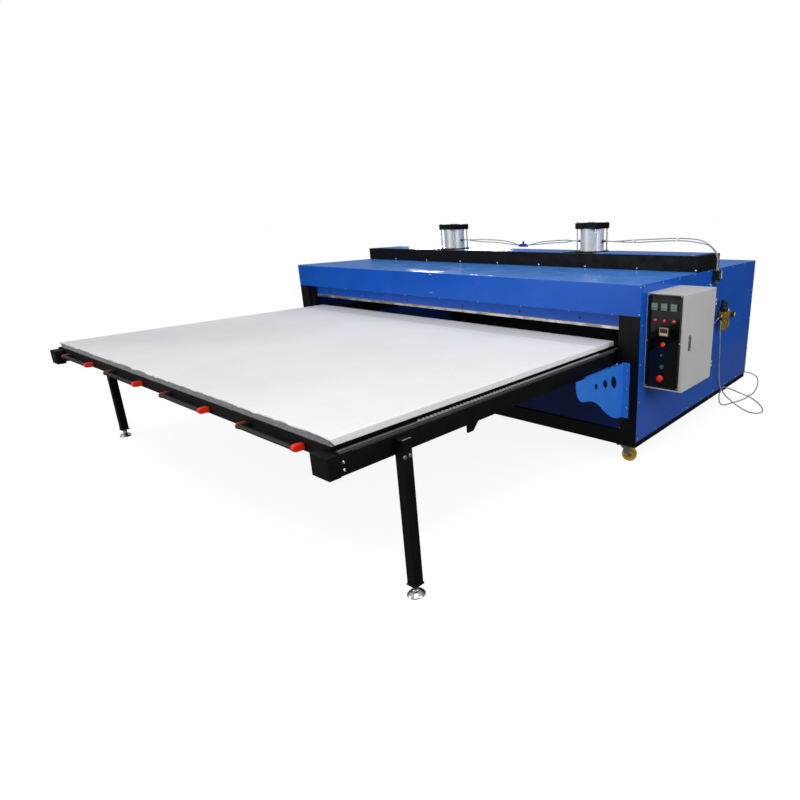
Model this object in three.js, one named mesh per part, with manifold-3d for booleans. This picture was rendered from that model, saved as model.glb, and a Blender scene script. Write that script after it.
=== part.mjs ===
// Large-format pneumatic heat press with one pull-out table, drawn pulled out.
// Millimetres, +Z up. Working coordinates: X = 0 at the middle of the body, Y = 0 at the front
// face of the hood, Z = 0 at the floor. The group is moved at the end, so that the origin lies
// under the middle of the machine without its hose and tubes.
import * as THREE from 'three';
import { mergeVertices } from 'three/addons/utils/BufferGeometryUtils.js';
import Module from 'manifold-3d';

const wasm = await Module();
wasm.setup();

// ---- driving dimensions -------------------------------------------------------------------
const GAP = 0.3;
const SHEET = 3;
const BODY_HALF = 1789;
const BODY_DEPTH = 2078;
const BODY_TOP = 1150;
const HOOD_BOTTOM = 963;
const BASE_BOTTOM = 131;
const BASE_TOP = 229;
const SIDE_PANEL_BOTTOM = 172;
const LOWER_PANEL_TOP = 640;
const TUBE = 100;
const FRAME_HALF = BODY_HALF - SHEET - GAP;
const FRAME_FRONT = SHEET + GAP;
const FRAME_REAR = BODY_DEPTH - SHEET - GAP;
const COLUMN_WIDTH = 113;
const COLUMN_INNER = FRAME_HALF - COLUMN_WIDTH;
const COLUMN_TOP = 1097;
const LIP_INNER = 1625;

const CROSS_HALF = 1781.7;
const CROSS_FRONT = 833.3;
const CROSS_REAR = 1242;
const CROSS_TOP = 1257.8;
const CROSS_MID = (CROSS_FRONT + CROSS_REAR) / 2;
const CROSS_BOTTOM = 1120;
const CROSS_WALL = 8;

const CYLINDER_X = { left: -731, right: 809 };
const CYLINDER_SIDE = 198;
const CYLINDER_TOP = 1485;
const CAP_THICK = 45;
const CYLINDER_FOOT = 10;
const BORE = 88;
const BARREL = 94;
const ROD = 22.5;
const TIE_ROD = 6;
const TIE_ROD_INSET = 14;
const PORT_Z = 1343;
const PORT_RADIUS = 7.5;
const PORT_LENGTH = 22;
const TUBE_PITCH = 20;
const TUBE_LIFT = 0.8;

const PLATEN_HALF = 1618;
const PLATEN_FRONT = 60;
const PLATEN_REAR = 2012;
const PLATEN_BOTTOM = 862;
const PLATEN_THICK = 20;
const CASING_TOP = 975;
const PRESS_BEAM_TOP = 1040;
const PRESS_BEAM_HALF = 1500;

const RAIL_OUTER = 1617.4;
const RAIL_INNER = 1557;
const RAIL_BOTTOM = 650;
const RAIL_TOP = 735;
const RAIL_FRONT = -1985;
const RAIL_REAR = 2000;
const STOP_FRONT = -2034;

const TABLE_HALF = 1556;
const TABLE_FRONT = -1978;
const TABLE_REAR = 70;
const TABLE_BOTTOM = 692;
const TABLE_TOP = 750;
const PAD_HALF = 1568;
const PAD_TOP = 786;

const HANDLE_X = [-1165, -400, 382, 1166];
const HANDLE_HALF = 224;
const HANDLE_BAR_Y = -2018;
const HANDLE_BAR_Z = 716;
const HANDLE_END_WIDTH = 30;
const HANDLE_END_HALF = 14;

const LEG_Y = [-1737, -1689];
const LEG_X = [RAIL_OUTER + GAP, RAIL_OUTER + GAP + 50];
const LEG_BOTTOM = 58;
const LEG_TOP = 720;

const BOX_FRONT = 72.6;
const BOX_REAR = 523.7;
const BOX_BOTTOM = 520.4;
const BOX_TOP = 1098;
const SHELL_OUTER = 2012;
const DOOR_OUTER = 2035;
const PANEL_FACE = 69.3;
const CONTROL_X = 1904;

const CASTER_RADIUS = 48;
const CASTER_TRAIL = 34;
const CASTERS = {
  front_left: [-1672, 72],
  front_right: [1672, 72],
  rear_left: [-1600, 1950],
  rear_right: [1600, 1950],
};

// ---- materials ----------------------------------------------------------------------------
const paint = (color, roughness, metalness) => {
  return new THREE.MeshStandardMaterial({ color, roughness, metalness });
};
const blue = paint(0x2b62c4, 0.4, 0.1);
const black = paint(0x151617, 0.55, 0.1);
const steel = paint(0xb9bcc0, 0.3, 1);
const aluminium = paint(0xc9ccd0, 0.35, 1);
const felt = paint(0xe6e6e8, 0.95, 0);
const greyPaint = paint(0xb4b6b8, 0.6, 0.1);
const gloss = paint(0x0b0b0c, 0.12, 0);
const redPlastic = paint(0xd8200f, 0.35, 0);
const greenPlastic = paint(0x0f7d63, 0.35, 0);
const blackPlastic = paint(0x101011, 0.5, 0);
const brass = paint(0xb28a3c, 0.35, 1);
const zinc = paint(0x9a9ca0, 0.4, 1);
const amber = paint(0xb89a2a, 0.5, 0);
const clearTube = paint(0xd4d8da, 0.3, 0);

// ---- shape helpers ------------------------------------------------------------------------
const block = (x, y, z) => {
  const shape = new THREE.BoxGeometry(x[1] - x[0], y[1] - y[0], z[1] - z[0]);
  return shape.translate((x[0] + x[1]) / 2, (y[0] + y[1]) / 2, (z[0] + z[1]) / 2);
};

const onSide = (sign, range) => (sign > 0 ? range : [-range[1], -range[0]]);

// A round bar along one axis. centre holds the other two coordinates in X, Y, Z order.
const bar = (axis, range, centre, radius, sides = 24) => {
  const shape = new THREE.CylinderGeometry(radius, radius, range[1] - range[0], sides);
  const mid = (range[0] + range[1]) / 2;
  if (axis === 'x') return shape.rotateZ(Math.PI / 2).translate(mid, centre[0], centre[1]);
  if (axis === 'y') return shape.translate(centre[0], mid, centre[1]);
  return shape.rotateX(Math.PI / 2).translate(centre[0], centre[1], mid);
};

// A turned piece about the Z axis at (x, y): profile points are [radius, z].
const turned = (profile, [x, y], sides = 32) => {
  const points = profile.map(([radius, z]) => new THREE.Vector2(radius, z));
  return new THREE.LatheGeometry(points, sides).rotateX(Math.PI / 2).translate(x, y, 0);
};

// A plate in the YZ plane, from an outline of [y, z] points, between two X values.
const sidePlate = (outline, x, holes = []) => {
  const shape = new THREE.Shape(outline.map(([y, z]) => new THREE.Vector2(y, z)));
  shape.holes = holes;
  const depth = x[1] - x[0];
  const plate = new THREE.ExtrudeGeometry(shape, { depth, bevelEnabled: false, curveSegments: 8 });
  return plate.rotateY(Math.PI / 2).rotateX(Math.PI / 2).translate(x[0], 0, 0);
};

const toSolid = (geometry) => {
  const bare = geometry.clone();
  bare.deleteAttribute('normal');
  bare.deleteAttribute('uv');
  const merged = mergeVertices(bare, 1e-4);
  const vertProperties = new Float32Array(merged.attributes.position.array);
  const triVerts = new Uint32Array(merged.index.array);
  return new wasm.Manifold(new wasm.Mesh({ numProp: 3, vertProperties, triVerts }));
};

const toGeometry = (solid) => {
  const { vertProperties, triVerts } = solid.getMesh();
  const indexed = new THREE.BufferGeometry();
  indexed.setAttribute('position', new THREE.BufferAttribute(vertProperties, 3));
  indexed.setIndex(new THREE.BufferAttribute(triVerts, 1));
  const flat = indexed.toNonIndexed();
  flat.computeVertexNormals();
  return flat;
};

const join = (added, removed = []) => {
  let solid = toSolid(added[0]);
  for (const geometry of added.slice(1)) solid = solid.add(toSolid(geometry));
  for (const geometry of removed) solid = solid.subtract(toSolid(geometry));
  return toGeometry(solid);
};

const press = new THREE.Group();
const cords = new Set();

const add = (name, geometry, material, isCord = false) => {
  const mesh = new THREE.Mesh(geometry, material);
  mesh.name = name;
  press.add(mesh);
  if (isCord) cords.add(name);
};

const SIDES = { left: -1, right: 1 };

// ---- welded frame -------------------------------------------------------------------------
const FRAME_INNER = FRAME_HALF - TUBE;
add('base_frame', join(
  [block([-FRAME_HALF, FRAME_HALF], [FRAME_FRONT, FRAME_REAR], [BASE_BOTTOM, BASE_TOP])],
  [block([-FRAME_INNER, FRAME_INNER], [FRAME_FRONT + TUBE, FRAME_REAR - TUBE], [0, BODY_TOP])],
), black);

for (const [side, sign] of Object.entries(SIDES)) {
  const post = onSide(sign, [COLUMN_INNER, FRAME_HALF]);
  const lip = onSide(sign, [LIP_INNER, COLUMN_INNER + 1]);
  const height = [BASE_TOP + GAP, COLUMN_TOP - GAP];
  add(`front_column_${side}`, join([
    block(post, [FRAME_FRONT, FRAME_FRONT + TUBE], height),
    block(lip, [FRAME_FRONT + 27, FRAME_FRONT + 77], [BASE_TOP + GAP, HOOD_BOTTOM - 3]),
  ]), black);
  add(`rear_column_${side}`, block(post, [FRAME_REAR - TUBE, FRAME_REAR], height), black);
}

// Two longitudinal beams and the inverted channel across them that carries the cylinders.
const headFrame = () => {
  const wall = CROSS_WALL;
  const inner = CROSS_HALF - 12;
  const channelBox = block([-CROSS_HALF, CROSS_HALF], [CROSS_FRONT, CROSS_REAR], [CROSS_BOTTOM, CROSS_TOP]);
  const beams = [];
  const removed = [
    block([-inner, inner], [CROSS_FRONT + wall, CROSS_REAR - wall], [0, CROSS_TOP - wall]),
  ];
  for (const sign of [-1, 1]) {
    const beam = onSide(sign, [COLUMN_INNER, FRAME_HALF]);
    beams.push(block(beam, [FRAME_FRONT, FRAME_REAR], [COLUMN_TOP, BODY_TOP - SHEET - GAP]));
  }
  for (const x of Object.values(CYLINDER_X)) {
    removed.push(bar('z', [CROSS_BOTTOM, CROSS_TOP + 1], [x, CROSS_MID], ROD + 4));
  }
  return join([join([channelBox], removed), ...beams]);
};
add('head_frame', headFrame(), black);

// ---- sheet-metal covers -------------------------------------------------------------------
for (const [side, sign] of Object.entries(SIDES)) {
  const skin = onSide(sign, [BODY_HALF - SHEET, BODY_HALF]);
  const depth = [0, BODY_DEPTH - SHEET - GAP];
  add(`side_panel_${side}`, block(skin, depth, [SIDE_PANEL_BOTTOM, BODY_TOP]), blue);
}
add('rear_cover', join([
  block([-BODY_HALF, BODY_HALF], [BODY_DEPTH - SHEET, BODY_DEPTH], [SIDE_PANEL_BOTTOM, BODY_TOP]),
  block([-FRAME_HALF, FRAME_HALF], [CROSS_REAR + GAP, BODY_DEPTH - 1], [BODY_TOP - SHEET, BODY_TOP]),
]), blue);
add('front_hood', join([
  block([-FRAME_HALF, FRAME_HALF], [0, SHEET], [HOOD_BOTTOM, BODY_TOP]),
  block([-FRAME_HALF, FRAME_HALF], [0, CROSS_FRONT - GAP], [BODY_TOP - SHEET, BODY_TOP]),
  block([-COLUMN_INNER + GAP, COLUMN_INNER - GAP], [0, 25], [HOOD_BOTTOM, HOOD_BOTTOM + SHEET]),
]), blue);
add('front_lower_panel', block(
  [-COLUMN_INNER + GAP, COLUMN_INNER - GAP], [20, 20 + SHEET], [BASE_TOP + GAP, LOWER_PANEL_TOP],
), blue);

// ---- pneumatic cylinders ------------------------------------------------------------------
const cylinder = (x, portSides) => {
  const half = CYLINDER_SIDE / 2;
  const square = [[x - half, x + half], [CROSS_MID - half, CROSS_MID + half]];
  const foot = CROSS_TOP + GAP;
  const capBottom = CYLINDER_TOP - CAP_THICK;
  const added = [
    block(...square, [foot, foot + CYLINDER_FOOT]),
    bar('z', [foot + CYLINDER_FOOT - 1, capBottom + 1], [x, CROSS_MID], BARREL, 28),
    block(...square, [capBottom, CYLINDER_TOP]),
  ];
  for (const [dx, dy] of [[-1, -1], [-1, 1], [1, -1], [1, 1]]) {
    const centre = [x + dx * (half - TIE_ROD_INSET), CROSS_MID + dy * (half - TIE_ROD_INSET)];
    added.push(bar('z', [foot + CYLINDER_FOOT - 1, capBottom + 1], centre, TIE_ROD, 8));
  }
  for (const portSide of portSides) {
    for (const dy of [-TUBE_PITCH / 2, TUBE_PITCH / 2]) {
      const reach = [x + portSide * BORE, x + portSide * (half + PORT_LENGTH)].sort((a, b) => a - b);
      added.push(bar('x', reach, [CROSS_MID + dy, PORT_Z], PORT_RADIUS, 8));
    }
  }
  return join(added, [
    bar('z', [foot + CYLINDER_FOOT + 14, capBottom - 3], [x, CROSS_MID], BORE, 28),
    bar('z', [0, foot + CYLINDER_FOOT + 20], [x, CROSS_MID], ROD + 0.5, 24),
  ]);
};
add('cylinder_left', cylinder(CYLINDER_X.left, [1]), aluminium);
add('cylinder_right', cylinder(CYLINDER_X.right, [-1, 1]), aluminium);

// ---- heated platen ------------------------------------------------------------------------
const platenX = [-PLATEN_HALF, PLATEN_HALF];
const platenY = [PLATEN_FRONT, PLATEN_REAR];
const pressBeamX = [-PRESS_BEAM_HALF, PRESS_BEAM_HALF];
const pressBeamY = [CROSS_MID - 100, CROSS_MID + 100];
add('heater_platen', block(platenX, platenY, [PLATEN_BOTTOM, PLATEN_BOTTOM + PLATEN_THICK]), aluminium);
add('platen_casing', join([
  block(platenX, platenY, [PLATEN_BOTTOM + PLATEN_THICK + GAP, CASING_TOP]),
  block(pressBeamX, pressBeamY, [CASING_TOP - 1, PRESS_BEAM_TOP]),
], [
  block([-PLATEN_HALF + 6, PLATEN_HALF - 6], [PLATEN_FRONT + 6, PLATEN_REAR - 6], [800, CASING_TOP - 6]),
]), blue);
for (const [side, x] of Object.entries(CYLINDER_X)) {
  add(`piston_rod_${side}`, join([
    bar('z', [PRESS_BEAM_TOP + GAP, 1401], [x, CROSS_MID], ROD),
    bar('z', [PRESS_BEAM_TOP + GAP, 1060], [x, CROSS_MID], 60),
    bar('z', [1400, 1430], [x, CROSS_MID], BORE - 1.5, 28),
  ]), steel);
}

// ---- rails, stops, gussets and legs -------------------------------------------------------
const rail = (sign) => {
  const wall = 4;
  const body = onSide(sign, [RAIL_INNER, RAIL_OUTER]);
  const hollow = onSide(sign, [RAIL_INNER + wall, RAIL_OUTER - wall]);
  const bracket = onSide(sign, [1600, 1608]);
  const corner = [[-1310, RAIL_BOTTOM + 1], [-1231, RAIL_BOTTOM + 1], [-1273, 607], [-1310, 607]];
  return join([
    toGeometry(toSolid(block(body, [RAIL_FRONT - 1, RAIL_REAR], [RAIL_BOTTOM, RAIL_TOP])).subtract(
      toSolid(block(hollow, [RAIL_FRONT, RAIL_REAR + 5], [RAIL_BOTTOM + wall, RAIL_TOP - wall])),
    )),
    block(onSide(sign, [1508, RAIL_OUTER]), [STOP_FRONT, RAIL_FRONT], [647, RAIL_TOP]),
    block(onSide(sign, [1597, RAIL_OUTER]), [RAIL_FRONT, RAIL_REAR - 10], [RAIL_TOP - 1, RAIL_TOP + 10]),
    block(onSide(sign, [1520, RAIL_INNER + 1]), [RAIL_FRONT - 1, RAIL_REAR], [676, TABLE_BOTTOM - 0.5]),
    block(onSide(sign, [RAIL_OUTER - 1, COLUMN_INNER - GAP]), [1980, RAIL_REAR], [RAIL_BOTTOM, RAIL_TOP]),
    sidePlate(corner, bracket),
  ]);
};

// The lower edge of a gusset, from its front corner to the column, as [y, z].
const GUSSET_EDGE = [
  [-529, 630], [-517, 593], [-494, 562], [-463, 544], [-384, 528], [-337, 510], [-289, 480],
  [-246, 444], [-202, 406], [-158, 374], [-112, 350], [-59, 332], [3, 324],
];
const leaf = (y, z, width, height) => {
  const at = (u, v) => [y + u * width, z + v * height];
  const hole = new THREE.Path();
  hole.moveTo(...at(-0.1, 0.5));
  hole.bezierCurveTo(...at(-0.7, 0.4), ...at(-0.6, -0.1), ...at(0.1, -0.5));
  hole.bezierCurveTo(...at(0.7, -0.4), ...at(0.6, 0.1), ...at(-0.1, 0.5));
  return hole;
};
const gusset = (sign) => {
  const top = 672;
  const plate = onSide(sign, [1680, 1684]);
  const shelf = [RAIL_BOTTOM - GAP - 4, RAIL_BOTTOM - GAP];
  const lower = new THREE.SplineCurve(GUSSET_EDGE.map(([y, z]) => new THREE.Vector2(y, z)));
  const outline = [[3, top], [-529, top], ...lower.getPoints(28).map((p) => [p.x, p.y])];
  const holes = [leaf(-318, 598, 39, 42), leaf(-214, 589, 56, 60), leaf(-112, 575, 70, 88)];
  return join([
    sidePlate(outline, plate, holes),
    block(onSide(sign, [1680, 1727]), [-1, 3], [322, 675]),
    block(onSide(sign, [1562, 1681]), [-340, -5], shelf),
    block(onSide(sign, [1562, COLUMN_INNER - 0.7]), [-6, FRAME_FRONT + 26], shelf),
  ]);
};

const leg = (sign) => {
  const wall = 3;
  const mid = [sign * (LEG_X[0] + LEG_X[1]) / 2, (LEG_Y[0] + LEG_Y[1]) / 2];
  return join([
    block(onSide(sign, LEG_X), LEG_Y, [LEG_BOTTOM, LEG_TOP]),
    block([mid[0] - 28, mid[0] + 28], [mid[1] - 27, mid[1] + 27], [LEG_BOTTOM - 6, LEG_BOTTOM + 1]),
  ], [
    block(onSide(sign, [LEG_X[0] + wall, LEG_X[1] - wall]), [LEG_Y[0] + wall, LEG_Y[1] - wall],
      [LEG_BOTTOM + 2, LEG_TOP - wall]),
    bar('z', [0, LEG_BOTTOM + 10], mid, 8.5, 16),
  ]);
};

const FOOT_PROFILE = [
  [0, 0], [40, 0], [40, 4], [35, 10], [25, 19], [15, 25], [13, 40], [8, 40], [8, 140], [0, 140],
];

for (const [side, sign] of Object.entries(SIDES)) {
  const mid = [sign * (LEG_X[0] + LEG_X[1]) / 2, (LEG_Y[0] + LEG_Y[1]) / 2];
  add(`rail_${side}`, rail(sign), black);
  add(`gusset_${side}`, gusset(sign), blue);
  add(`leg_${side}`, leg(sign), black);
  add(`foot_${side}`, turned(FOOT_PROFILE, mid, 24), steel);
}

// ---- table --------------------------------------------------------------------------------
const tableFrame = () => {
  const tube = 40;
  const bayCount = 4;
  const bayWidth = (2 * TABLE_HALF - tube * (bayCount + 1)) / bayCount;
  const bays = [];
  for (let i = 0; i < bayCount; i += 1) {
    const start = -TABLE_HALF + tube + i * (bayWidth + tube);
    bays.push(block(
      [start, start + bayWidth], [TABLE_FRONT + tube, TABLE_REAR - tube], [0, TABLE_TOP - 6],
    ));
  }
  const slab = block([-TABLE_HALF, TABLE_HALF], [TABLE_FRONT, TABLE_REAR], [TABLE_BOTTOM, TABLE_TOP]);
  return join([slab], bays);
};
add('table_frame', tableFrame(), black);
const padDepth = [TABLE_FRONT - 6, TABLE_REAR + 4];
add('table_pad', block([-PAD_HALF, PAD_HALF], padDepth, [TABLE_TOP + 0.4, PAD_TOP]), felt);

HANDLE_X.forEach((x, index) => {
  const depth = [HANDLE_BAR_Y - 12, TABLE_FRONT - GAP];
  const height = [HANDLE_BAR_Z - HANDLE_END_HALF, HANDLE_BAR_Z + HANDLE_END_HALF];
  const [start, end] = [x - HANDLE_HALF, x + HANDLE_HALF];
  add(`handle_${index + 1}`, join([
    bar('x', [start + 2, end - 2], [HANDLE_BAR_Y, HANDLE_BAR_Z], 10, 16),
    block([start, start + HANDLE_END_WIDTH], depth, height),
    block([end - HANDLE_END_WIDTH, end], depth, height),
  ]), blackPlastic);
});

// ---- control enclosure --------------------------------------------------------------------
const SHELL_INNER = BODY_HALF + GAP;
add('enclosure_shell', join([
  block([SHELL_INNER, SHELL_OUTER], [BOX_FRONT, BOX_REAR], [BOX_BOTTOM, BOX_TOP]),
], [
  block([SHELL_INNER + 2, SHELL_OUTER + 5], [BOX_FRONT + 2, BOX_REAR - 2], [BOX_BOTTOM + 2, BOX_TOP - 2]),
  block([SHELL_INNER + 16, SHELL_OUTER - 10], [0, BOX_FRONT + 5], [545, 1080]),
]), greyPaint);
const DOOR_SHEET = 2.5;
add('enclosure_door', join([
  block([SHELL_OUTER + GAP, DOOR_OUTER], [BOX_FRONT, BOX_REAR], [BOX_BOTTOM, BOX_TOP]),
], [
  block([SHELL_OUTER, DOOR_OUTER - DOOR_SHEET], [BOX_FRONT + DOOR_SHEET, BOX_REAR - DOOR_SHEET],
    [BOX_BOTTOM + DOOR_SHEET, BOX_TOP - DOOR_SHEET]),
]), greyPaint);
add('door_latch', block([DOOR_OUTER + 1, DOOR_OUTER + 6], [131, 155], [768, 854]), zinc);

const DISPLAY_X = [1842, 1902, 1962];
const LAMP_X = [1847, 1906, 1965];
const ROUND_Z = { stop_button: 800, mode_selector: 733, start_button: 665, emergency_stop: 597 };
const controlPanel = () => {
  const added = [block([1794, SHELL_OUTER - 1], [PANEL_FACE, BOX_FRONT - GAP], [530, 1093])];
  const removed = [];
  for (const x of DISPLAY_X) {
    added.push(block([x - 24, x + 24], [PANEL_FACE - 5, PANEL_FACE + 1], [998, 1046]));
  }
  for (const x of LAMP_X) {
    added.push(bar('y', [PANEL_FACE - 9, PANEL_FACE + 1], [x, 941], 12, 16));
  }
  added.push(block([1878, 1933], [PANEL_FACE - 6, PANEL_FACE + 1], [852, 902]));
  for (const z of Object.values(ROUND_Z)) {
    added.push(bar('y', [PANEL_FACE - 8, PANEL_FACE + 1], [CONTROL_X, z], 14.5, 16));
    removed.push(bar('y', [PANEL_FACE - 20, PANEL_FACE], [CONTROL_X, z], 12.9, 16));
    removed.push(bar('y', [PANEL_FACE - 20, BOX_FRONT + 5], [CONTROL_X, z], 8.7, 12));
  }
  return join(added, removed);
};
add('control_panel', controlPanel(), gloss);

const pushButton = (z) => join([
  bar('y', [PANEL_FACE - 9, PANEL_FACE - 3.8], [CONTROL_X, z], 12, 20),
  bar('y', [PANEL_FACE - 5, PANEL_FACE + 22], [CONTROL_X, z], 8, 16),
]);
add('stop_button', pushButton(ROUND_Z.stop_button), redPlastic);
add('start_button', pushButton(ROUND_Z.start_button), greenPlastic);
add('mode_selector', join([
  bar('y', [PANEL_FACE - 9, PANEL_FACE - 0.6], [CONTROL_X, ROUND_Z.mode_selector], 12, 20),
  bar('y', [PANEL_FACE - 5, PANEL_FACE + 22], [CONTROL_X, ROUND_Z.mode_selector], 8, 16),
  block([CONTROL_X - 4, CONTROL_X + 4], [PANEL_FACE - 20, PANEL_FACE - 8],
    [ROUND_Z.mode_selector - 12, ROUND_Z.mode_selector + 12]),
]), blackPlastic);
const stopHead = turned([[0, 0], [12, 0], [12, 13], [20, 15], [20, 23], [16, 27.5], [0, 29]], [0, 0], 28);
stopHead.rotateX(Math.PI / 2).translate(CONTROL_X, PANEL_FACE - 5, ROUND_Z.emergency_stop);
add('emergency_stop', join([
  stopHead,
  bar('y', [PANEL_FACE - 8, PANEL_FACE + 22], [CONTROL_X, ROUND_Z.emergency_stop], 8, 16),
]), redPlastic);

const electricalPanel = () => {
  const plate = [SHELL_INNER + 2 + GAP, SHELL_INNER + 5];
  const pieces = [block(plate, [110, 500], [560, 1060])];
  for (const y of [150, 210, 270]) {
    pieces.push(block([plate[1] - 1, plate[1] + 80], [y, y + 45], [900, 975]));
    pieces.push(block([plate[1] - 1, plate[1] + 62], [y, y + 45], [700, 775]));
  }
  pieces.push(block([plate[1] - 1, plate[1] + 70], [360, 440], [880, 1000]));
  pieces.push(block([plate[1] - 1, plate[1] + 40], [140, 470], [600, 645]));
  return join(pieces);
};
add('electrical_panel', electricalPanel(), zinc);

// ---- air preparation unit and valve -------------------------------------------------------
const UNIT_X = 1834;
const UNIT_Y = 1300;
const BOWL_Y = [UNIT_Y - 30, UNIT_Y + 38];
const KNOB_BOTTOM = 868.5;
const KNOB_TOP = 918;
const airUnit = () => {
  const wallFace = BODY_HALF + GAP;
  const bowl = (y, bottom) => turned([
    [0, bottom - 14], [6, bottom - 14], [6, bottom], [16, bottom + 4], [25, bottom + 16], [27, bottom + 30],
    [27, 782], [0, 782],
  ], [UNIT_X, y], 20);
  return join([
    block([UNIT_X - 27, UNIT_X + 27], [UNIT_Y - 66, UNIT_Y + 70], [778, 828]),
    bowl(BOWL_Y[0], 684),
    bowl(BOWL_Y[1], 692),
    bar('z', [820, KNOB_BOTTOM - 0.5], [UNIT_X, BOWL_Y[0]], 25, 20),
    bar('z', [838, KNOB_BOTTOM - 0.5], [UNIT_X, BOWL_Y[0]], 31, 24),
    bar('z', [820, 846], [UNIT_X, BOWL_Y[1]], 18, 20),
    block([wallFace, UNIT_X - 20], [UNIT_Y - 20, UNIT_Y + 24], [784, 822]),
    block([wallFace, wallFace + 5], [UNIT_Y - 30, UNIT_Y + 34], [774, 850]),
    bar('y', [UNIT_Y - 84, UNIT_Y - 60], [UNIT_X, 803], 12, 16),
    bar('z', [770, 803], [UNIT_X, UNIT_Y - 74], 9, 16),
    bar('y', [UNIT_Y - 80, UNIT_Y - 56], [UNIT_X - 14, 790], 8, 16),
  ]);
};
add('air_unit', airUnit(), brass);
add('regulator_knob', turned([
  [0, KNOB_BOTTOM], [24, KNOB_BOTTOM], [25, KNOB_BOTTOM + 6], [23, KNOB_TOP - 6], [20, KNOB_TOP - 1],
  [0, KNOB_TOP],
], [UNIT_X, BOWL_Y[0]], 24), blackPlastic);
add('pressure_gauge', join([
  bar('x', [UNIT_X + 40, UNIT_X + 62], [UNIT_Y + 38, 805], 21, 28),
  bar('x', [UNIT_X + 27 + GAP, UNIT_X + 41], [UNIT_Y + 38, 805], 6, 12),
]), blackPlastic);

const VALVE_Y = 1138;
const valve = () => {
  const wallFace = BODY_HALF + GAP;
  const pieces = [
    block([wallFace, wallFace + 48], [VALVE_Y - 46, VALVE_Y + 6], [1072, 1142]),
    block([wallFace, wallFace + 40], [VALVE_Y + 5, VALVE_Y + 48], [1076, 1138]),
  ];
  for (const y of [VALVE_Y - 20 - TUBE_PITCH / 2, VALVE_Y - 20 + TUBE_PITCH / 2]) {
    pieces.push(bar('z', [1052, 1074], [wallFace + 24, y], 8, 12));
    pieces.push(bar('z', [1140, 1158], [wallFace + 24, y], 7.5, 12));
  }
  return join(pieces);
};
add('solenoid_valve', valve(), blackPlastic);

// ---- casters ------------------------------------------------------------------------------
const TRAIL_ANGLE = (25 * Math.PI) / 180;
for (const [corner, [x, y]] of Object.entries(CASTERS)) {
  const sign = Math.sign(x);
  const along = new THREE.Vector2(sign * Math.cos(TRAIL_ANGLE), Math.sin(TRAIL_ANGLE));
  const turn = Math.atan2(along.y, along.x);
  const wheelCentre = [x + along.x * CASTER_TRAIL, y + along.y * CASTER_TRAIL];
  const place = (geometry) => geometry.rotateZ(turn).translate(x, y, 0);
  const cheek = (low) => {
    const outline = [[-26, 112], [26, 112], [CASTER_TRAIL + 11, CASTER_RADIUS + 4]];
    for (let step = 0; step <= 4; step += 1) {
      const angle = -(step / 4) * Math.PI;
      outline.push([CASTER_TRAIL + 11 * Math.cos(angle), CASTER_RADIUS + 11 * Math.sin(angle)]);
    }
    outline.push([CASTER_TRAIL - 11, CASTER_RADIUS + 4]);
    const shape = new THREE.Shape(outline.map(([u, z]) => new THREE.Vector2(u, z)));
    const plate = new THREE.ExtrudeGeometry(shape, { depth: 4, bevelEnabled: false });
    return plate.rotateX(Math.PI / 2).translate(0, low + 4, 0);
  };
  const fork = join([
    cheek(20),
    cheek(-24),
    block([-26, 26], [-24, 24], [107, 113]),
    bar('z', [112, 122], [0, 0], 24, 20),
    block([-50, 50], [-42, 42], [121, BASE_BOTTOM - GAP]),
    bar('y', [-27, 27], [CASTER_TRAIL, CASTER_RADIUS], 5, 12),
  ]);
  add(`caster_fork_${corner}`, place(fork), zinc);
  const bore = 5.3;
  const tread = new THREE.LatheGeometry([
    [bore, -18], [16, -18], [20, -15], [CASTER_RADIUS - 4, -16], [CASTER_RADIUS, -10],
    [CASTER_RADIUS, 10], [CASTER_RADIUS - 4, 16], [20, 15], [16, 18], [bore, 18], [bore, -18],
  ].map(([radius, width]) => new THREE.Vector2(radius, width)), 24);
  add(`caster_wheel_${corner}`, place(tread.translate(CASTER_TRAIL, 0, CASTER_RADIUS)), amber);
}

// ---- hose and tubes -----------------------------------------------------------------------
const HOSE = 10;
const AIR_TUBE = 8;
const tube = (points, diameter, steps) => {
  const route = new THREE.CatmullRomCurve3(points.map((p) => new THREE.Vector3(...p)));
  const ring = new THREE.Shape();
  ring.absarc(0, 0, diameter / 2, 0, Math.PI * 2);
  return new THREE.ExtrudeGeometry(ring, { steps, extrudePath: route, curveSegments: 4 });
};

const HOSE_ROUTE = [
  [1834, 1226, 769], [1834, 1226, 735], [1832, 1238, 660], [1824, 1285, 500], [1815, 1325, 370],
  [1812, 1360, 270], [1816, 1398, 196], [1837, 1437, 136], [1888, 1472, 76], [1965, 1476, 31],
  [2042, 1472, 9], [2098, 1492, 7], [2116, 1545, 7], [2097, 1618, 7], [2026, 1750, 7],
  [1940, 1856, 7], [1887, 1903, 8], [1838, 1902, 20], [1806, 1856, 46], [1795, 1780, 80],
  [1792, 1680, 116], [1792, 1585, 150], [1794, 1515, 165], [1800, 1450, 155], [1808, 1403, 112],
  [1818, 1410, 62], [1830, 1475, 33], [1850, 1620, 16], [1873, 1728, 9], [1896, 1815, 13],
  [1905, 1889, 20], [1903, 1970, 12], [1893, 2070, 7], [1850, 2300, 7], [1784, 2520, 7],
  [1713, 2650, 7], [1630, 2706, 7], [1545, 2694, 7], [1482, 2642, 7], [1456, 2590, 7],
  [1452, 2553, 6],
];
add('supply_hose', tube(HOSE_ROUTE, HOSE, 80), clearTube, true);

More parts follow.
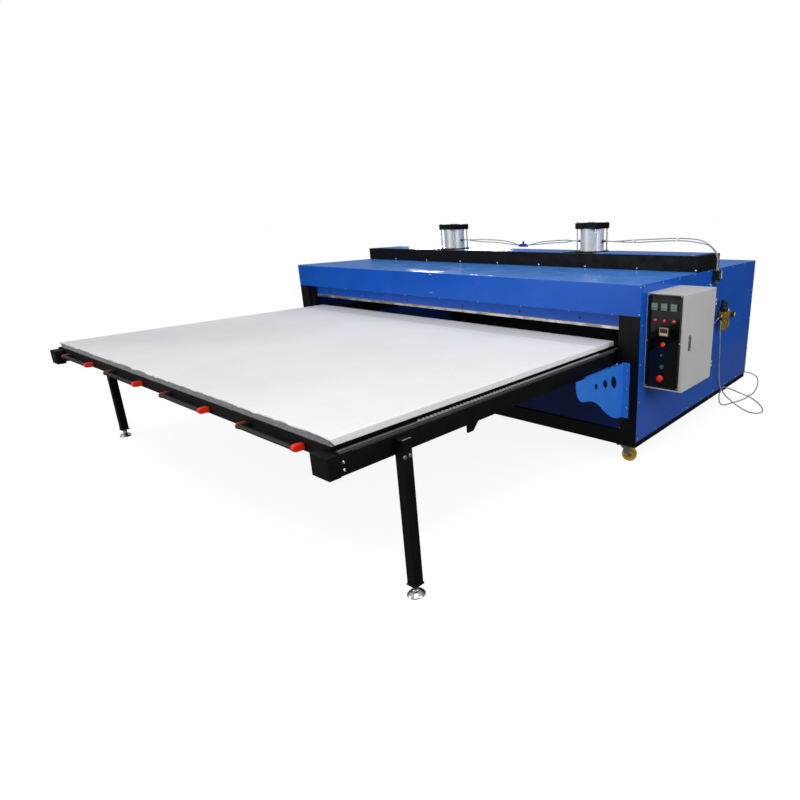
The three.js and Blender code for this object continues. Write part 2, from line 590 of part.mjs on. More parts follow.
const COIL = { x: 1382, y: 2500, inner: 45, outer: 75, height: 31 };
add('supply_hose_coil', turned([
  [COIL.inner, 1], [COIL.outer, 1], [COIL.outer, COIL.height], [COIL.inner, COIL.height], [COIL.inner, 1],
], [COIL.x, COIL.y], 32), clearTube, true);
const CONNECTOR_X = COIL.x + COIL.outer - HOSE / 2;
add('hose_connector', join([
  bar('y', [2421, 2446], [CONNECTOR_X, 12], 6.5, 12),
  bar('y', [2381, 2422], [CONNECTOR_X, 12], 11, 16),
  bar('y', [2359, 2382], [CONNECTOR_X, 12], 6, 12),
]), steel);
cords.add('hose_connector');

const linkTube = (dy) => {
  const y = CROSS_MID + dy;
  const lift = dy * TUBE_LIFT;
  const start = CYLINDER_X.left + CYLINDER_SIDE / 2 + PORT_LENGTH + 0.5;
  const end = CYLINDER_X.right - CYLINDER_SIDE / 2 - PORT_LENGTH - 0.5;
  return [
    [start, y, PORT_Z], [start + 70, y, PORT_Z], [-380, y + dy, 1338 + lift], [-200, y + dy, 1334 + lift],
    [-60, y, 1322 + lift], [60, y, 1304], [107, y, 1301], [155, y, 1304], [270, y + dy, 1320 + lift],
    [420, y + dy, 1333 + lift], [560, y, 1340 + lift], [end - 60, y, PORT_Z], [end, y, PORT_Z],
  ];
};
const valveTube = (dy) => {
  const y = CROSS_MID + dy;
  const lift = dy * TUBE_LIFT;
  const start = CYLINDER_X.right + CYLINDER_SIDE / 2 + PORT_LENGTH + 0.5;
  const portX = BODY_HALF + GAP + 24;
  const portY = VALVE_Y - 20 + dy;
  return [
    [start, y, PORT_Z], [start + 80, y, 1342], [1180, y, 1345 + lift], [1320, y + 4, 1351 + lift],
    [1480, y + 10, 1358 + lift], [1600, y + 22, 1357 + lift], [1690, y + 40, 1344 + lift],
    [1752, y + 58, 1318], [1795, portY - 5, 1270], [portX - 2, portY, 1225], [portX, portY, 1190],
    [portX, portY, 1158.5],
  ];
};
for (const [end, dy] of [['front', -TUBE_PITCH / 2], ['rear', TUBE_PITCH / 2]]) {
  add(`link_tube_${end}`, tube(linkTube(dy), AIR_TUBE, 32), clearTube, true);
  add(`valve_tube_${end}`, tube(valveTube(dy), AIR_TUBE, 32), clearTube, true);
}
add('outlet_tube', tube([
  [UNIT_X - 14, UNIT_Y - 80.5, 790], [UNIT_X - 14, UNIT_Y - 96, 788], [UNIT_X - 18, UNIT_Y - 108, 776],
  [UNIT_X - 28, UNIT_Y - 110, 760], [BODY_HALF + 10, UNIT_Y - 108, 752],
  [BODY_HALF + GAP, UNIT_Y - 108, 752],
], AIR_TUBE, 12), clearTube);

// ---- origin under the middle of the machine -----------------------------------------------
const extent = new THREE.Box3();
for (const mesh of press.children) {
  if (!cords.has(mesh.name)) extent.expandByObject(mesh);
}
const centre = extent.getCenter(new THREE.Vector3());
press.position.set(-centre.x, -centre.y, -extent.min.z);
press.updateMatrixWorld(true);

export default press;
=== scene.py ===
"""Looks of a large-format pneumatic heat press with one pull-out table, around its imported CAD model.

Working coordinates are machine millimetres, as in the part's source: X = 0 at the middle of the body,
Y = 0 at the front face of the hood and Z = 0 at the floor. at() turns them into the frame's metres.
"""

import math

import bmesh
import bpy
from mathutils import Matrix, Vector, noise


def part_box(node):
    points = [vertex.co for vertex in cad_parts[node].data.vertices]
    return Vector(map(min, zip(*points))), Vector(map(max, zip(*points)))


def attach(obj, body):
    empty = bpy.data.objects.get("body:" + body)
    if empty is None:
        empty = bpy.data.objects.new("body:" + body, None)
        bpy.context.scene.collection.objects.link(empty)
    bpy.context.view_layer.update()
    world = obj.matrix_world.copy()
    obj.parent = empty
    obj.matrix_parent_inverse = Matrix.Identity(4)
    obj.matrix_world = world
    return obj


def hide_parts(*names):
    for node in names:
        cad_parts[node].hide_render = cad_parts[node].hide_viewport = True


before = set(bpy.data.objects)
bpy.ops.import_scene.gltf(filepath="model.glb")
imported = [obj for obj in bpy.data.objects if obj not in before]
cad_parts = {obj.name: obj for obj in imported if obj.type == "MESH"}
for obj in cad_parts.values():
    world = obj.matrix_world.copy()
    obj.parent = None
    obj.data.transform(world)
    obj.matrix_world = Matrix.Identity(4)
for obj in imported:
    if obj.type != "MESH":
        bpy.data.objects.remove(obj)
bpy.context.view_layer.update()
scene = bpy.context.scene

MM = 0.001
ORIGIN = Vector((
    (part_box("side_panel_left")[0].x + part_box("side_panel_right")[1].x) / 2,
    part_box("front_hood")[0].y,
    0,
))
UP, DOWN = (0, 0, 1), (0, 0, -1)
FRONT, BACK = (0, -1, 0), (0, 1, 0)
RIGHT = (1, 0, 0)
SIDES = {"left": -1, "right": 1}


def at(x, y, z):
    """A point of the frame, in metres, from machine millimetres."""
    return ORIGIN + Vector((x, y, z)) * MM


def span(node):
    """A CAD node's box in machine millimetres: (x0, x1), (y0, y1), (z0, z1)."""
    low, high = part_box(node)
    return [((a - o) / MM, (b - o) / MM) for a, b, o in zip(low, high, ORIGIN)]


# ---- camera -------------------------------------------------------------------------------
CAMERA_PLACE = (3330.8, -3071.8, 1536.2)
CAMERA_YAW, CAMERA_PITCH, CAMERA_ROLL = -38.265, -17.692, -1.180
CAMERA_LENS = 25.921
CAMERA_SHIFT = (-0.1562, 0.0012)


def make_camera():
    """A camera at the place, heading, tilt and roll given above, in degrees."""
    yaw, pitch, roll = (math.radians(a) for a in (CAMERA_YAW, CAMERA_PITCH, CAMERA_ROLL))
    ahead = Vector((math.sin(yaw) * math.cos(pitch), math.cos(yaw) * math.cos(pitch), math.sin(pitch)))
    level = Vector((math.cos(yaw), -math.sin(yaw), 0))
    up = level.cross(ahead)
    right = level * math.cos(roll) + up * math.sin(roll)
    above = up * math.cos(roll) - level * math.sin(roll)
    data = bpy.data.cameras.new("camera")
    data.lens = CAMERA_LENS
    data.shift_x, data.shift_y = CAMERA_SHIFT
    camera = bpy.data.objects.new("camera", data)
    turn = Matrix((right, above, -ahead)).transposed().to_4x4()
    camera.matrix_world = Matrix.Translation(at(*CAMERA_PLACE)) @ turn
    scene.collection.objects.link(camera)
    scene.camera = camera


make_camera()


# ---- materials ----------------------------------------------------------------------------
def srgb(red, green, blue):
    """A display colour, 0 to 255, as linear RGBA."""
    def linear(value):
        share = value / 255
        return share / 12.92 if share <= 0.04045 else ((share + 0.055) / 1.055) ** 2.4
    return (linear(red), linear(green), linear(blue), 1.0)


class Look:
    """A Principled material whose colour, gloss and relief come from noise in object coordinates."""

    def __init__(self, name, colour, roughness, **sockets):
        self.material = bpy.data.materials.new(name)
        self.material.use_nodes = True
        self.nodes = self.material.node_tree.nodes
        self.links = self.material.node_tree.links
        self.shader = self.nodes["Principled BSDF"]
        self.colour = self.relief = None
        self.shader.inputs["Base Color"].default_value = srgb(*colour)
        self.shader.inputs["Roughness"].default_value = roughness
        for socket, value in sockets.items():
            title = "IOR" if socket == "ior" else socket.replace("_", " ").title()
            self.shader.inputs[title].default_value = value
        self.place = self.nodes.new("ShaderNodeTexCoord").outputs["Object"]

    def field(self, scale, detail=3.0, stretch=(1, 1, 1)):
        """A field of noise with about scale spots per metre."""
        mapping = self.nodes.new("ShaderNodeMapping")
        mapping.inputs["Scale"].default_value = stretch
        self.links.new(self.place, mapping.inputs["Vector"])
        texture = self.nodes.new("ShaderNodeTexNoise")
        texture.inputs["Scale"].default_value = scale
        texture.inputs["Detail"].default_value = detail
        self.links.new(mapping.outputs["Vector"], texture.inputs["Vector"])
        return texture.outputs["Fac"]

    def ramp(self, field, before, after, low=0.0, high=1.0):
        """The field taken from before..after to low..high, with the ends held."""
        node = self.nodes.new("ShaderNodeMapRange")
        values = {"From Min": before, "From Max": after, "To Min": low, "To Max": high}
        for socket, value in values.items():
            node.inputs[socket].default_value = value
        self.links.new(field, node.inputs["Value"])
        return node.outputs["Result"]

    def along(self, axis, before, after, low=0.0, high=1.0):
        """A value that changes from before to after, in metres of the frame, along x, y or z."""
        split = self.nodes.new("ShaderNodeSeparateXYZ")
        self.links.new(self.place, split.inputs["Vector"])
        return self.ramp(split.outputs[axis.upper()], before, after, low, high)

    def facing(self, axis, before, after):
        """A mask of the faces that look along an axis of the piece."""
        normal = self.nodes.new("ShaderNodeTexCoord").outputs["Normal"]
        split = self.nodes.new("ShaderNodeSeparateXYZ")
        self.links.new(normal, split.inputs["Vector"])
        return self.ramp(split.outputs[axis.upper()], before, after)

    def times(self, first, second):
        node = self.nodes.new("ShaderNodeMath")
        node.operation = "MULTIPLY"
        for socket, value in zip(node.inputs, (first, second)):
            if isinstance(value, (int, float)):
                socket.default_value = value
            else:
                self.links.new(value, socket)
        return node.outputs["Value"]

    def tint(self, mask, colour, amount=1.0):
        """Colour laid over what is there, where the mask is 1."""
        mix = self.nodes.new("ShaderNodeMix")
        mix.data_type = "RGBA"
        base, over = [socket for socket in mix.inputs if socket.type == "RGBA"]
        out = [socket for socket in mix.outputs if socket.type == "RGBA"][0]
        if self.colour is None:
            base.default_value = self.shader.inputs["Base Color"].default_value
        else:
            self.links.new(self.colour, base)
        over.default_value = srgb(*colour)
        self.links.new(self.times(mask, amount), mix.inputs["Factor"])
        self.links.new(out, self.shader.inputs["Base Color"])
        self.colour = out
        return self

    def gloss(self, mask, low, high):
        """Roughness from low to high with the mask."""
        self.links.new(self.ramp(mask, 0, 1, low, high), self.shader.inputs["Roughness"])
        return self

    def bump(self, height, depth):
        """Relief of that depth, in metres, over what is there."""
        node = self.nodes.new("ShaderNodeBump")
        node.inputs["Distance"].default_value = depth
        self.links.new(height, node.inputs["Height"])
        if self.relief is not None:
            self.links.new(self.relief, node.inputs["Normal"])
        self.relief = node.outputs["Normal"]
        self.links.new(self.relief, self.shader.inputs["Normal"])
        return self


def sheet_paint(name, inside_axis=None, inside=0):
    """Blue gloss enamel on thin sheet: orange peel, slow waves, a painted highlight on the faces that look
    up and painted reflections of the floor, in patches low down. The faces that look along the inside axis
    are painted black as shade."""
    look = Look(name, (12, 82, 184), 0.24, ior=1.32)
    look.tint(look.ramp(look.field(2.5, 4), 0.35, 0.7), (20, 92, 198), 0.5)
    # painted reflection of the floor: paler, more violet patches low down on the sheet
    floor_reflection = look.times(look.along("z", 0.62, 0.3), look.ramp(look.field(1.6, 3), 0.3, 0.6, 0.4, 1))
    look.tint(floor_reflection, (70, 92, 160), 0.5)
    # painted highlight: faces that look up are tinted paler blue, as if lamps and sky light them
    look.tint(look.facing("z", 0.4, 0.9), (78, 150, 240), 0.8)
    # painted shade: the faces that look along the inside axis are made black
    if inside_axis:
        look.tint(look.facing(inside_axis, inside * 0.5, inside * 0.9), (8, 9, 12))
    look.gloss(look.ramp(look.field(6, 4), 0.3, 0.7), 0.18, 0.3)
    look.bump(look.field(1.8, 1.5), 0.004)
    look.bump(look.field(700, 2), 0.00002)
    return look.material


def painted(name, colour, roughness, spots=(), shine=None, relief=(), **sockets):
    """A material with spots of colour, uneven gloss and relief. Spots are (field, limits, colour, amount),
    shine is (field, limits, low, high) and relief is (field, depth); a field is what field() takes."""
    look = Look(name, colour, roughness, **sockets)
    for field, limits, tone, amount in spots:
        look.tint(look.ramp(look.field(*field), *limits), tone, amount)
    if shine:
        field, limits, low, high = shine
        look.gloss(look.ramp(look.field(*field), *limits), low, high)
    for field, depth in relief:
        look.bump(look.field(*field), depth)
    return look.material


def bright_metal(name, colour, roughness, spots=(150, 150, 155)):
    """Bare metal with dull spots."""
    shine = ((80, 4), (0.3, 0.7), roughness * 0.75, roughness * 1.3)
    dull = ((30, 6), (0.5, 0.8), spots, 0.35)
    return painted(name, colour, roughness, [dull], shine, [((900, 2), 0.00002)], metallic=1.0)


def moulded(name, colour, roughness, darker, grain=0.00003, **sockets):
    """Moulded plastic with a fine grain and slight changes of colour and gloss."""
    shine = ((25, 3), (0.3, 0.7), roughness * 0.8, roughness * 1.25)
    shade = ((45, 4), (0.4, 0.7), darker, 0.45)
    return painted(name, colour, roughness, [shade], shine, [((1100, 2), grain)], **sockets)


def lcd(name, colour, streak):
    """A display window: tinted glass over a faintly uneven panel."""
    return painted(
        name, colour, 0.12, [((60, 4), (0.4, 0.65), streak, 0.6)],
        relief=[((8, 1), 0.0003)], ior=1.6, coat_weight=0.6, coat_roughness=0.05,
    )


def felt_white():
    """Pressed white felt: fine fibres, a painted shadow of the hood along the back
    and painted shade on the left.
    """
    look = Look("white_felt", (240, 240, 242), 0.95, ior=1.2, sheen_weight=0.1, sheen_roughness=0.6)
    look.tint(look.ramp(look.field(1.3, 5), 0.4, 0.68), (226, 226, 229), 0.5)
    look.tint(look.ramp(look.field(220, 6), 0.5, 0.75), (214, 214, 219), 0.4)
    # painted shadow: a soft grey band across the back of the felt, where the hood's shadow falls
    hood_shadow_edge = at(0, -135, 0).y
    look.tint(look.along("y", hood_shadow_edge - 0.004, hood_shadow_edge + 0.01), (206, 207, 212), 0.6)
    # painted shade: soft grey patches towards the left of the felt
    left_shade = look.along("x", -0.3, -1.4)
    look.tint(look.times(left_shade, look.ramp(look.field(0.5, 2), 0.35, 0.6)), (208, 209, 214), 0.55)
    look.bump(look.field(1.6, 3), 0.003)
    look.bump(look.field(260, 8), 0.0003)
    return look.material


BLUE = sheet_paint("blue_enamel")
# the rear cover, with painted black shade on the faces that look into the machine
BLUE_REAR = sheet_paint("blue_enamel_rear", "y", -1)
# painted shade: a darker copy of the blue enamel for the lower front panel, which lies in shadow
SHADED_BLUE = painted(
    "blue_enamel_painted_shade", (8, 34, 92), 0.35, [((3, 4), (0.35, 0.7), (12, 42, 108), 0.5)],
    ((8, 4), (0.3, 0.7), 0.3, 0.42), [((700, 2), 0.00002)], ior=1.3,
)
BLUE_PLATE = painted(
    "blue_plate_enamel", (46, 118, 218), 0.34, [((7, 5), (0.4, 0.7), (58, 130, 228), 0.5)],
    ((20, 4), (0.3, 0.7), 0.28, 0.4), [((500, 2), 0.00004)], ior=1.4,
)
BLACK = painted(
    "black_powder_coat", (6, 6, 7), 0.52,
    [((6, 6), (0.45, 0.75), (12, 12, 14), 0.6), ((60, 10, (1, 0.15, 1)), (0.68, 0.8), (52, 52, 54), 0.2)],
    ((14, 4), (0.35, 0.65), 0.42, 0.6), [((900, 3), 0.00003)], ior=1.25,
)
STEEL = bright_metal("bright_steel", (200, 202, 206), 0.24)
ZINC = bright_metal("zinc_plate", (150, 152, 156), 0.4, spots=(110, 112, 116))
BRASS = bright_metal("brass", (190, 148, 70), 0.33, spots=(120, 92, 44))
OLIVE = moulded("olive_gold_paint", (164, 138, 58), 0.33, (112, 92, 34), metallic=0.45)
BARREL = moulded("satin_aluminium", (226, 227, 229), 0.42, (200, 202, 206), 0.00001, metallic=0.35)
PLATEN = painted(
    "heated_aluminium", (205, 206, 208), 0.32,
    [((9, 8, (1, 1, 2)), (0.42, 0.62), (96, 92, 86), 0.7), ((34, 6), (0.55, 0.75), (150, 138, 116), 0.5)],
    ((20, 5), (0.3, 0.7), 0.22, 0.5), [((120, 5), 0.0002)], metallic=1.0,
)
FELT = felt_white()
FOAM = painted(
    "grey_foam", (146, 147, 149), 0.95,
    [((25, 8), (0.4, 0.7), (108, 109, 112), 0.8), ((160, 6), (0.55, 0.75), (186, 187, 189), 0.6)],
    relief=[((180, 6), 0.0015)], ior=1.2,
)
GREY = painted(
    "grey_texture_paint", (190, 190, 190), 0.6,
    [((350, 3), (0.45, 0.62), (174, 174, 175), 0.5), ((5, 4), (0.4, 0.7), (198, 198, 198), 0.4)],
    relief=[((420, 2), 0.00018)], ior=1.35,
)
OVERLAY = painted(
    "black_gloss_overlay", (7, 7, 8), 0.07, [((30, 6), (0.5, 0.8), (15, 15, 17), 0.5)],
    ((14, 6), (0.4, 0.75), 0.05, 0.13), [((7, 1.5), 0.0006)], ior=1.4,
)
RED = moulded("red_plastic", (246, 44, 18), 0.34, (226, 32, 12), ior=1.4, coat_weight=0.15)
LAMP_RED = moulded("red_lens", (206, 16, 14), 0.14, (150, 8, 8), ior=1.6, coat_weight=0.8)
GREEN = moulded("green_plastic", (10, 118, 92), 0.3, (6, 86, 68))
PLASTIC = moulded("black_plastic", (14, 14, 15), 0.42, (26, 26, 28))
CREAM = moulded("cream_plastic", (214, 204, 172), 0.4, (188, 176, 140))
KHAKI = moulded("khaki_plastic", (112, 106, 80), 0.4, (90, 84, 62))
BEIGE = moulded("tan_plastic", (158, 142, 102), 0.4, (134, 118, 82))
DULL_STEEL = moulded("dull_strip", (84, 85, 88), 0.5, (58, 59, 62), metallic=0.3)
RACK = moulded("rack_steel", (150, 151, 153), 0.45, (112, 113, 116), metallic=0.2)
LATCH_GREY = moulded("latch_grey", (120, 121, 124), 0.5, (98, 99, 102))
WELD = moulded("bare_weld", (168, 169, 172), 0.4, (120, 121, 124), metallic=0.7)
WHITE_MARK = moulded("white_mark", (230, 230, 228), 0.4, (205, 205, 200))
BLUE_FITTING = moulded("blue_plastic", (14, 52, 150), 0.3, (10, 38, 112))
AMBER = moulded("amber_polyurethane", (196, 158, 34), 0.42, (158, 120, 20), subsurface_weight=0.1)
# painted shade: a dark colour that stands for the dark inside of holes and slots
HOLE_SHADE = moulded("painted_hole_shade", (6, 6, 8), 0.8, (12, 12, 14))
TAN = moulded("insulation_board", (150, 104, 66), 0.85, (110, 74, 46), 0.0003)
TAPE = moulded("white_tape", (236, 236, 238), 0.45, (214, 214, 218))
HOSE = painted(
    "milky_hose", (168, 171, 175), 0.24,
    [((12, 5), (0.45, 0.7), (140, 144, 149), 0.6), ((70, 4), (0.55, 0.7), (118, 121, 126), 0.3)],
    relief=[((300, 3), 0.0001)], ior=1.5, transmission_weight=0.2, coat_weight=0.3,
)
LCD = lcd("lcd_window", (88, 122, 116), (104, 138, 130))
LCD_DARK = lcd("dark_window", (20, 24, 28), (40, 46, 52))
WIRES = {
    "red": moulded("red_wire", (190, 30, 24), 0.4, (150, 20, 18)),
    "blue": moulded("blue_wire", (26, 62, 170), 0.4, (18, 44, 120)),
    "black": moulded("black_wire", (18, 18, 20), 0.4, (34, 34, 36)),
    "yellow": moulded("yellow_wire", (206, 176, 36), 0.4, (60, 130, 50)),
}


# ---- shapes -------------------------------------------------------------------------------
def eased(points, reach, steps=3, closed=False):
    """The same outline with short curves in place of its corners, each reach millimetres long."""
    points = [Vector(p) for p in points]
    made = []
    for i, corner in enumerate(points):
        if not closed and i in (0, len(points) - 1):
            made.append(corner)
            continue
        before = points[i - 1] - corner
        after = points[(i + 1) % len(points)] - corner
        cut = min(reach, before.length * 0.49, after.length * 0.49)
        start = corner + before.normalized() * cut
        end = corner + after.normalized() * cut
        for k in range(steps + 1):
            t = k / steps
            made.append(start * (1 - t) ** 2 + corner * (2 * t * (1 - t)) + end * t * t)
    return made


def rounded(a, b, reach, steps=3):
    """A rectangle over the two ranges given, with rounded corners."""
    return eased([(a[0], b[0]), (a[1], b[0]), (a[1], b[1]), (a[0], b[1])], reach, steps, True)


def disc(radius, low, high):
    """The profile of a plain round bar from low to high."""
    return [(0, low), (radius, low), (radius, high), (0, high)]


def box_part(x, y, z, edge=1.0, steps=2):
    """A block with rounded edges."""
    part = bmesh.new()
    bmesh.ops.create_cube(part, size=1)
    size = (x[1] - x[0], y[1] - y[0], z[1] - z[0])
    centre = ((x[0] + x[1]) / 2, (y[0] + y[1]) / 2, (z[0] + z[1]) / 2)
    place = Matrix.Translation(centre) @ Matrix.Diagonal((*size, 1))
    bmesh.ops.transform(part, matrix=place, verts=part.verts)
    if edge:
        reach = min(edge, min(size) * 0.45)
        bmesh.ops.bevel(part, geom=part.edges[:], offset=reach, segments=steps, profile=0.5, affect="EDGES")
    return part


def turned_part(profile, base=(0, 0, 0), axis=UP, sides=32, cut=None):
    """A turned part. Profile points are (radius, height along the axis); one that ends off the axis is
    closed on itself. cut(height index, angle) scales the radius, for hexagons, crosses and flutes."""
    part = bmesh.new()
    rings = []
    for index, (radius, height) in enumerate(profile):
        if radius < 1e-6:
            rings.append([part.verts.new((0, 0, height))])
            continue
        ring = []
        for k in range(sides):
            angle = k * math.tau / sides
            reach = radius * (cut(index, angle) if cut else 1)
            ring.append(part.verts.new((reach * math.cos(angle), reach * math.sin(angle), height)))
        rings.append(ring)
    if profile[0][0] > 1e-6:
        rings.append(rings[0])
    for low, high in zip(rings, rings[1:]):
        for k in range(sides):
            j = k + 1
            corners = [low[k % len(low)], low[j % len(low)], high[j % len(high)], high[k % len(high)]]
            corners = list(dict.fromkeys(corners))
            if len(corners) > 2:
                part.faces.new(corners)
    turn = Vector(axis).to_track_quat("Z", "Y").to_matrix().to_4x4()
    bmesh.ops.transform(part, matrix=Matrix.Translation(base) @ turn, verts=part.verts)
    return part


AXIS_ORDER = {
    "x": lambda a, b, c: (c, a, b),
    "y": lambda a, b, c: (a, c, b),
    "z": lambda a, b, c: (a, b, c),
}


def prism_part(outline, axis, reach, edge=0.0):
    """An outline run along an axis: (y, z) points for x, (x, z) for y and (x, y) for z."""
    part = bmesh.new()
    order = AXIS_ORDER[axis]
    ends = [[part.verts.new(order(p[0], p[1], c)) for p in outline] for c in reach]
    caps = [part.faces.new(ring) for ring in ends]
    for k in range(len(outline)):
        j = (k + 1) % len(outline)
        part.faces.new((ends[0][k], ends[0][j], ends[1][j], ends[1][k]))
    if edge:
        rims = [e for cap in caps for e in cap.edges]
        bmesh.ops.bevel(
            part, geom=rims, offset=edge, segments=2, profile=0.5, affect="EDGES", clamp_overlap=True,
        )
    return part


def folded_part(path, thick, bend, axis, reach):
    """Sheet metal that follows a path and is bent at its corners. It lies to the left of the path."""
    line = eased(path, bend, 4)
    inner = []
    for k, point in enumerate(line):
        ahead = (line[min(k + 1, len(line) - 1)] - line[max(k - 1, 0)]).normalized()
        inner.append(point + Vector((-ahead.y, ahead.x)) * thick)
    return prism_part(line + inner[::-1], axis, reach)


def sweep_part(points, radius, sides=12):
    """A round bar along a line of points, with closed ends."""
    part = bmesh.new()
    points = [Vector(p) for p in points]
    rings = []
    side = None
    for k, point in enumerate(points):
        ahead = (points[min(k + 1, len(points) - 1)] - points[max(k - 1, 0)]).normalized()
        if side is None:
            side = ahead.orthogonal().normalized()
        side = (side - ahead * side.dot(ahead)).normalized()
        across = ahead.cross(side)
        size = radius(k / (len(points) - 1)) if callable(radius) else radius
        spokes = [k2 * math.tau / sides for k2 in range(sides)]
        turned = [(side * math.cos(a) + across * math.sin(a)) * size for a in spokes]
        rings.append([part.verts.new(point + reach) for reach in turned])
    for low, high in zip(rings, rings[1:]):
        for k in range(sides):
            j = (k + 1) % sides
            part.faces.new((low[k], low[j], high[j], high[k]))
    part.faces.new(rings[0])
    part.faces.new(rings[-1])
    return part


class Piece:
    """One piece of the object, collected part by part in machine millimetres, with a look for each part."""

    def __init__(self, name, body, slot):
        self.name, self.body, self.slot = name, body, slot
        self.looks = []
        self.mesh = bmesh.new()

    def add(self, part, look):
        if look not in self.looks:
            self.looks.append(look)
        bmesh.ops.recalc_face_normals(part, faces=part.faces)
        for face in part.faces:
            face.material_index = self.looks.index(look)
            face.smooth = True
        holder = bpy.data.meshes.new("part")
        part.to_mesh(holder)
        part.free()
        self.mesh.from_mesh(holder)
        bpy.data.meshes.remove(holder)
        return self

    def box(self, x, y, z, look, edge=1.0, steps=2):
        return self.add(box_part(x, y, z, edge, steps), look)

    def turned(self, profile, base, axis, look, sides=32, cut=None):
        return self.add(turned_part(profile, base, axis, sides, cut), look)

    def prism(self, outline, axis, reach, look, edge=0.0):
        return self.add(prism_part(outline, axis, reach, edge), look)

    def sweep(self, points, radius, look, sides=12):
        return self.add(sweep_part(points, radius, sides), look)

    def done(self, *nodes, sharp=32):
        """Makes the object, in place and riding on its body. It stands for the CAD nodes named."""
        mesh = bpy.data.meshes.new(self.name)
        place = Matrix.Translation(ORIGIN) @ Matrix.Diagonal((MM, MM, MM, 1))
        bmesh.ops.transform(self.mesh, matrix=place, verts=self.mesh.verts)
        self.mesh.to_mesh(mesh)
        self.mesh.free()
        mesh.set_sharp_from_angle(angle=math.radians(sharp))
        for look in self.looks:
            mesh.materials.append(look)
        piece = bpy.data.objects.new(self.name, mesh)
        scene.collection.objects.link(piece)
        normals = piece.modifiers.new("normals", "WEIGHTED_NORMAL")
        normals.keep_sharp = True
        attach(piece, self.body)
        if nodes:
            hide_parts(*nodes)
        return piece


def hexagon(start):
    """Makes the rings from start on hexagonal."""
    def scale(index, angle):
        if index < start:
            return 1
        return math.cos(math.pi / 6) / math.cos((angle + math.pi / 6) % (math.pi / 3) - math.pi / 6)
    return scale


def cross_recess(start):
    """Makes the rings from start on a cross-shaped recess."""
    def scale(index, angle):
        if index < start:
            return 1
        turn = (angle + math.pi / 4) % (math.pi / 2) - math.pi / 4
        return min(1 / math.cos(turn), 0.36 / max(abs(math.sin(turn)), 1e-6))
    return scale


def screw(piece, centre, axis, radius, look=None):
    """A pan-head screw with a cross recess."""
    profile = [
        (radius, 0), (radius, radius * 0.28), (radius * 0.86, radius * 0.48), (radius * 0.55, radius * 0.58),
        (radius * 0.5, radius * 0.58), (radius * 0.34, radius * 0.3), (0, radius * 0.28),
    ]
    piece.turned([(0, -0.5), *profile], centre, axis, look or STEEL, 20, cross_recess(5))


def socket_screw(piece, centre, axis, radius):
    """A domed screw with a hexagonal socket."""
    profile = [
        (0, -0.5), (radius, 0), (radius, radius * 0.3), (radius * 0.85, radius * 0.62),
        (radius * 0.52, radius * 0.75), (radius * 0.46, radius * 0.72), (radius * 0.44, radius * 0.3),
        (0, radius * 0.28),
    ]
    piece.turned(profile, centre, axis, STEEL, 24, hexagon(5))


def hex_bolt(piece, centre, axis, radius):
    """A hexagon head on a washer."""
    washer = eased(
        [(0, -0.4), (radius * 1.35, -0.4), (radius * 1.35, 1.8), (radius * 0.9, 1.8), (0, 1.8)], 0.4,
    )
    piece.turned(washer, centre, axis, STEEL, 28)
    head = [
        (0, 1.8), (radius * 1.02, 1.8), (radius * 1.02, radius * 0.62), (radius * 0.92, radius * 0.72),
        (0, radius * 0.74),
    ]
    piece.turned(
        head, centre, axis, STEEL, 24, lambda index, angle: hexagon(1)(index, angle) if index < 3 else 0.96,
    )


def dress(node, look, bevel):
    """Gives a shown CAD node its look, rounded edges and clean shading."""
    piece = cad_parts[node]
    piece.data.materials.clear()
    piece.data.materials.append(look)
    for face in piece.data.polygons:
        face.use_smooth = True
    weld = piece.modifiers.new("weld", "WELD")
    weld.merge_threshold = 0.00005
    edges = piece.modifiers.new("edges", "BEVEL")
    edges.width = bevel * MM
    edges.segments = 2
    edges.limit_method = "ANGLE"
    edges.angle_limit = math.radians(40)
    edges.harden_normals = False
    normals = piece.modifiers.new("normals", "WEIGHTED_NORMAL")
    normals.keep_sharp = False


# ---- cords --------------------------------------------------------------------------------
def smooth_route(points, step):
    """Points about every step millimetres along one smooth curve through those given."""
    points = [Vector(p) for p in points]
    points = [points[0] * 2 - points[1], *points, points[-1] * 2 - points[-2]]
    made = []
    for a, b, c, d in zip(points, points[1:], points[2:], points[3:]):
        times = [0.0]
        for p, q in ((a, b), (b, c), (c, d)):
            times.append(times[-1] + math.sqrt((q - p).length))
        t0, t1, t2, t3 = times
        count = max(2, round((c - b).length / step))
        for k in range(count):
            t = t1 + (t2 - t1) * k / count
            a1 = a.lerp(b, (t - t0) / (t1 - t0))
            a2 = b.lerp(c, (t - t1) / (t2 - t1))
            a3 = c.lerp(d, (t - t2) / (t3 - t2))
            b1 = a1.lerp(a2, (t - t0) / (t2 - t0))
            b2 = a2.lerp(a3, (t - t1) / (t3 - t1))
            made.append(b1.lerp(b2, (t - t1) / (t2 - t1)))
    made.append(points[-2])
    return made


def cord_piece(name, points, diameter):
    """A hose or tube along points in machine millimetres, fixed to the frame."""
    data = bpy.data.curves.new(name, "CURVE")
    data.dimensions = "3D"
    data.bevel_depth = diameter / 2 * MM
    data.bevel_resolution = 4
    data.use_fill_caps = True
    line = data.splines.new("POLY")
    line.points.add(len(points) - 1)
    for spot, point in zip(line.points, points):
        spot.co = (*at(*point), 1)
    line.use_smooth = True
    data.materials.append(HOSE)
    piece = bpy.data.objects.new(name, data)
    scene.collection.objects.link(piece)
    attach(piece, "frame")
    return piece


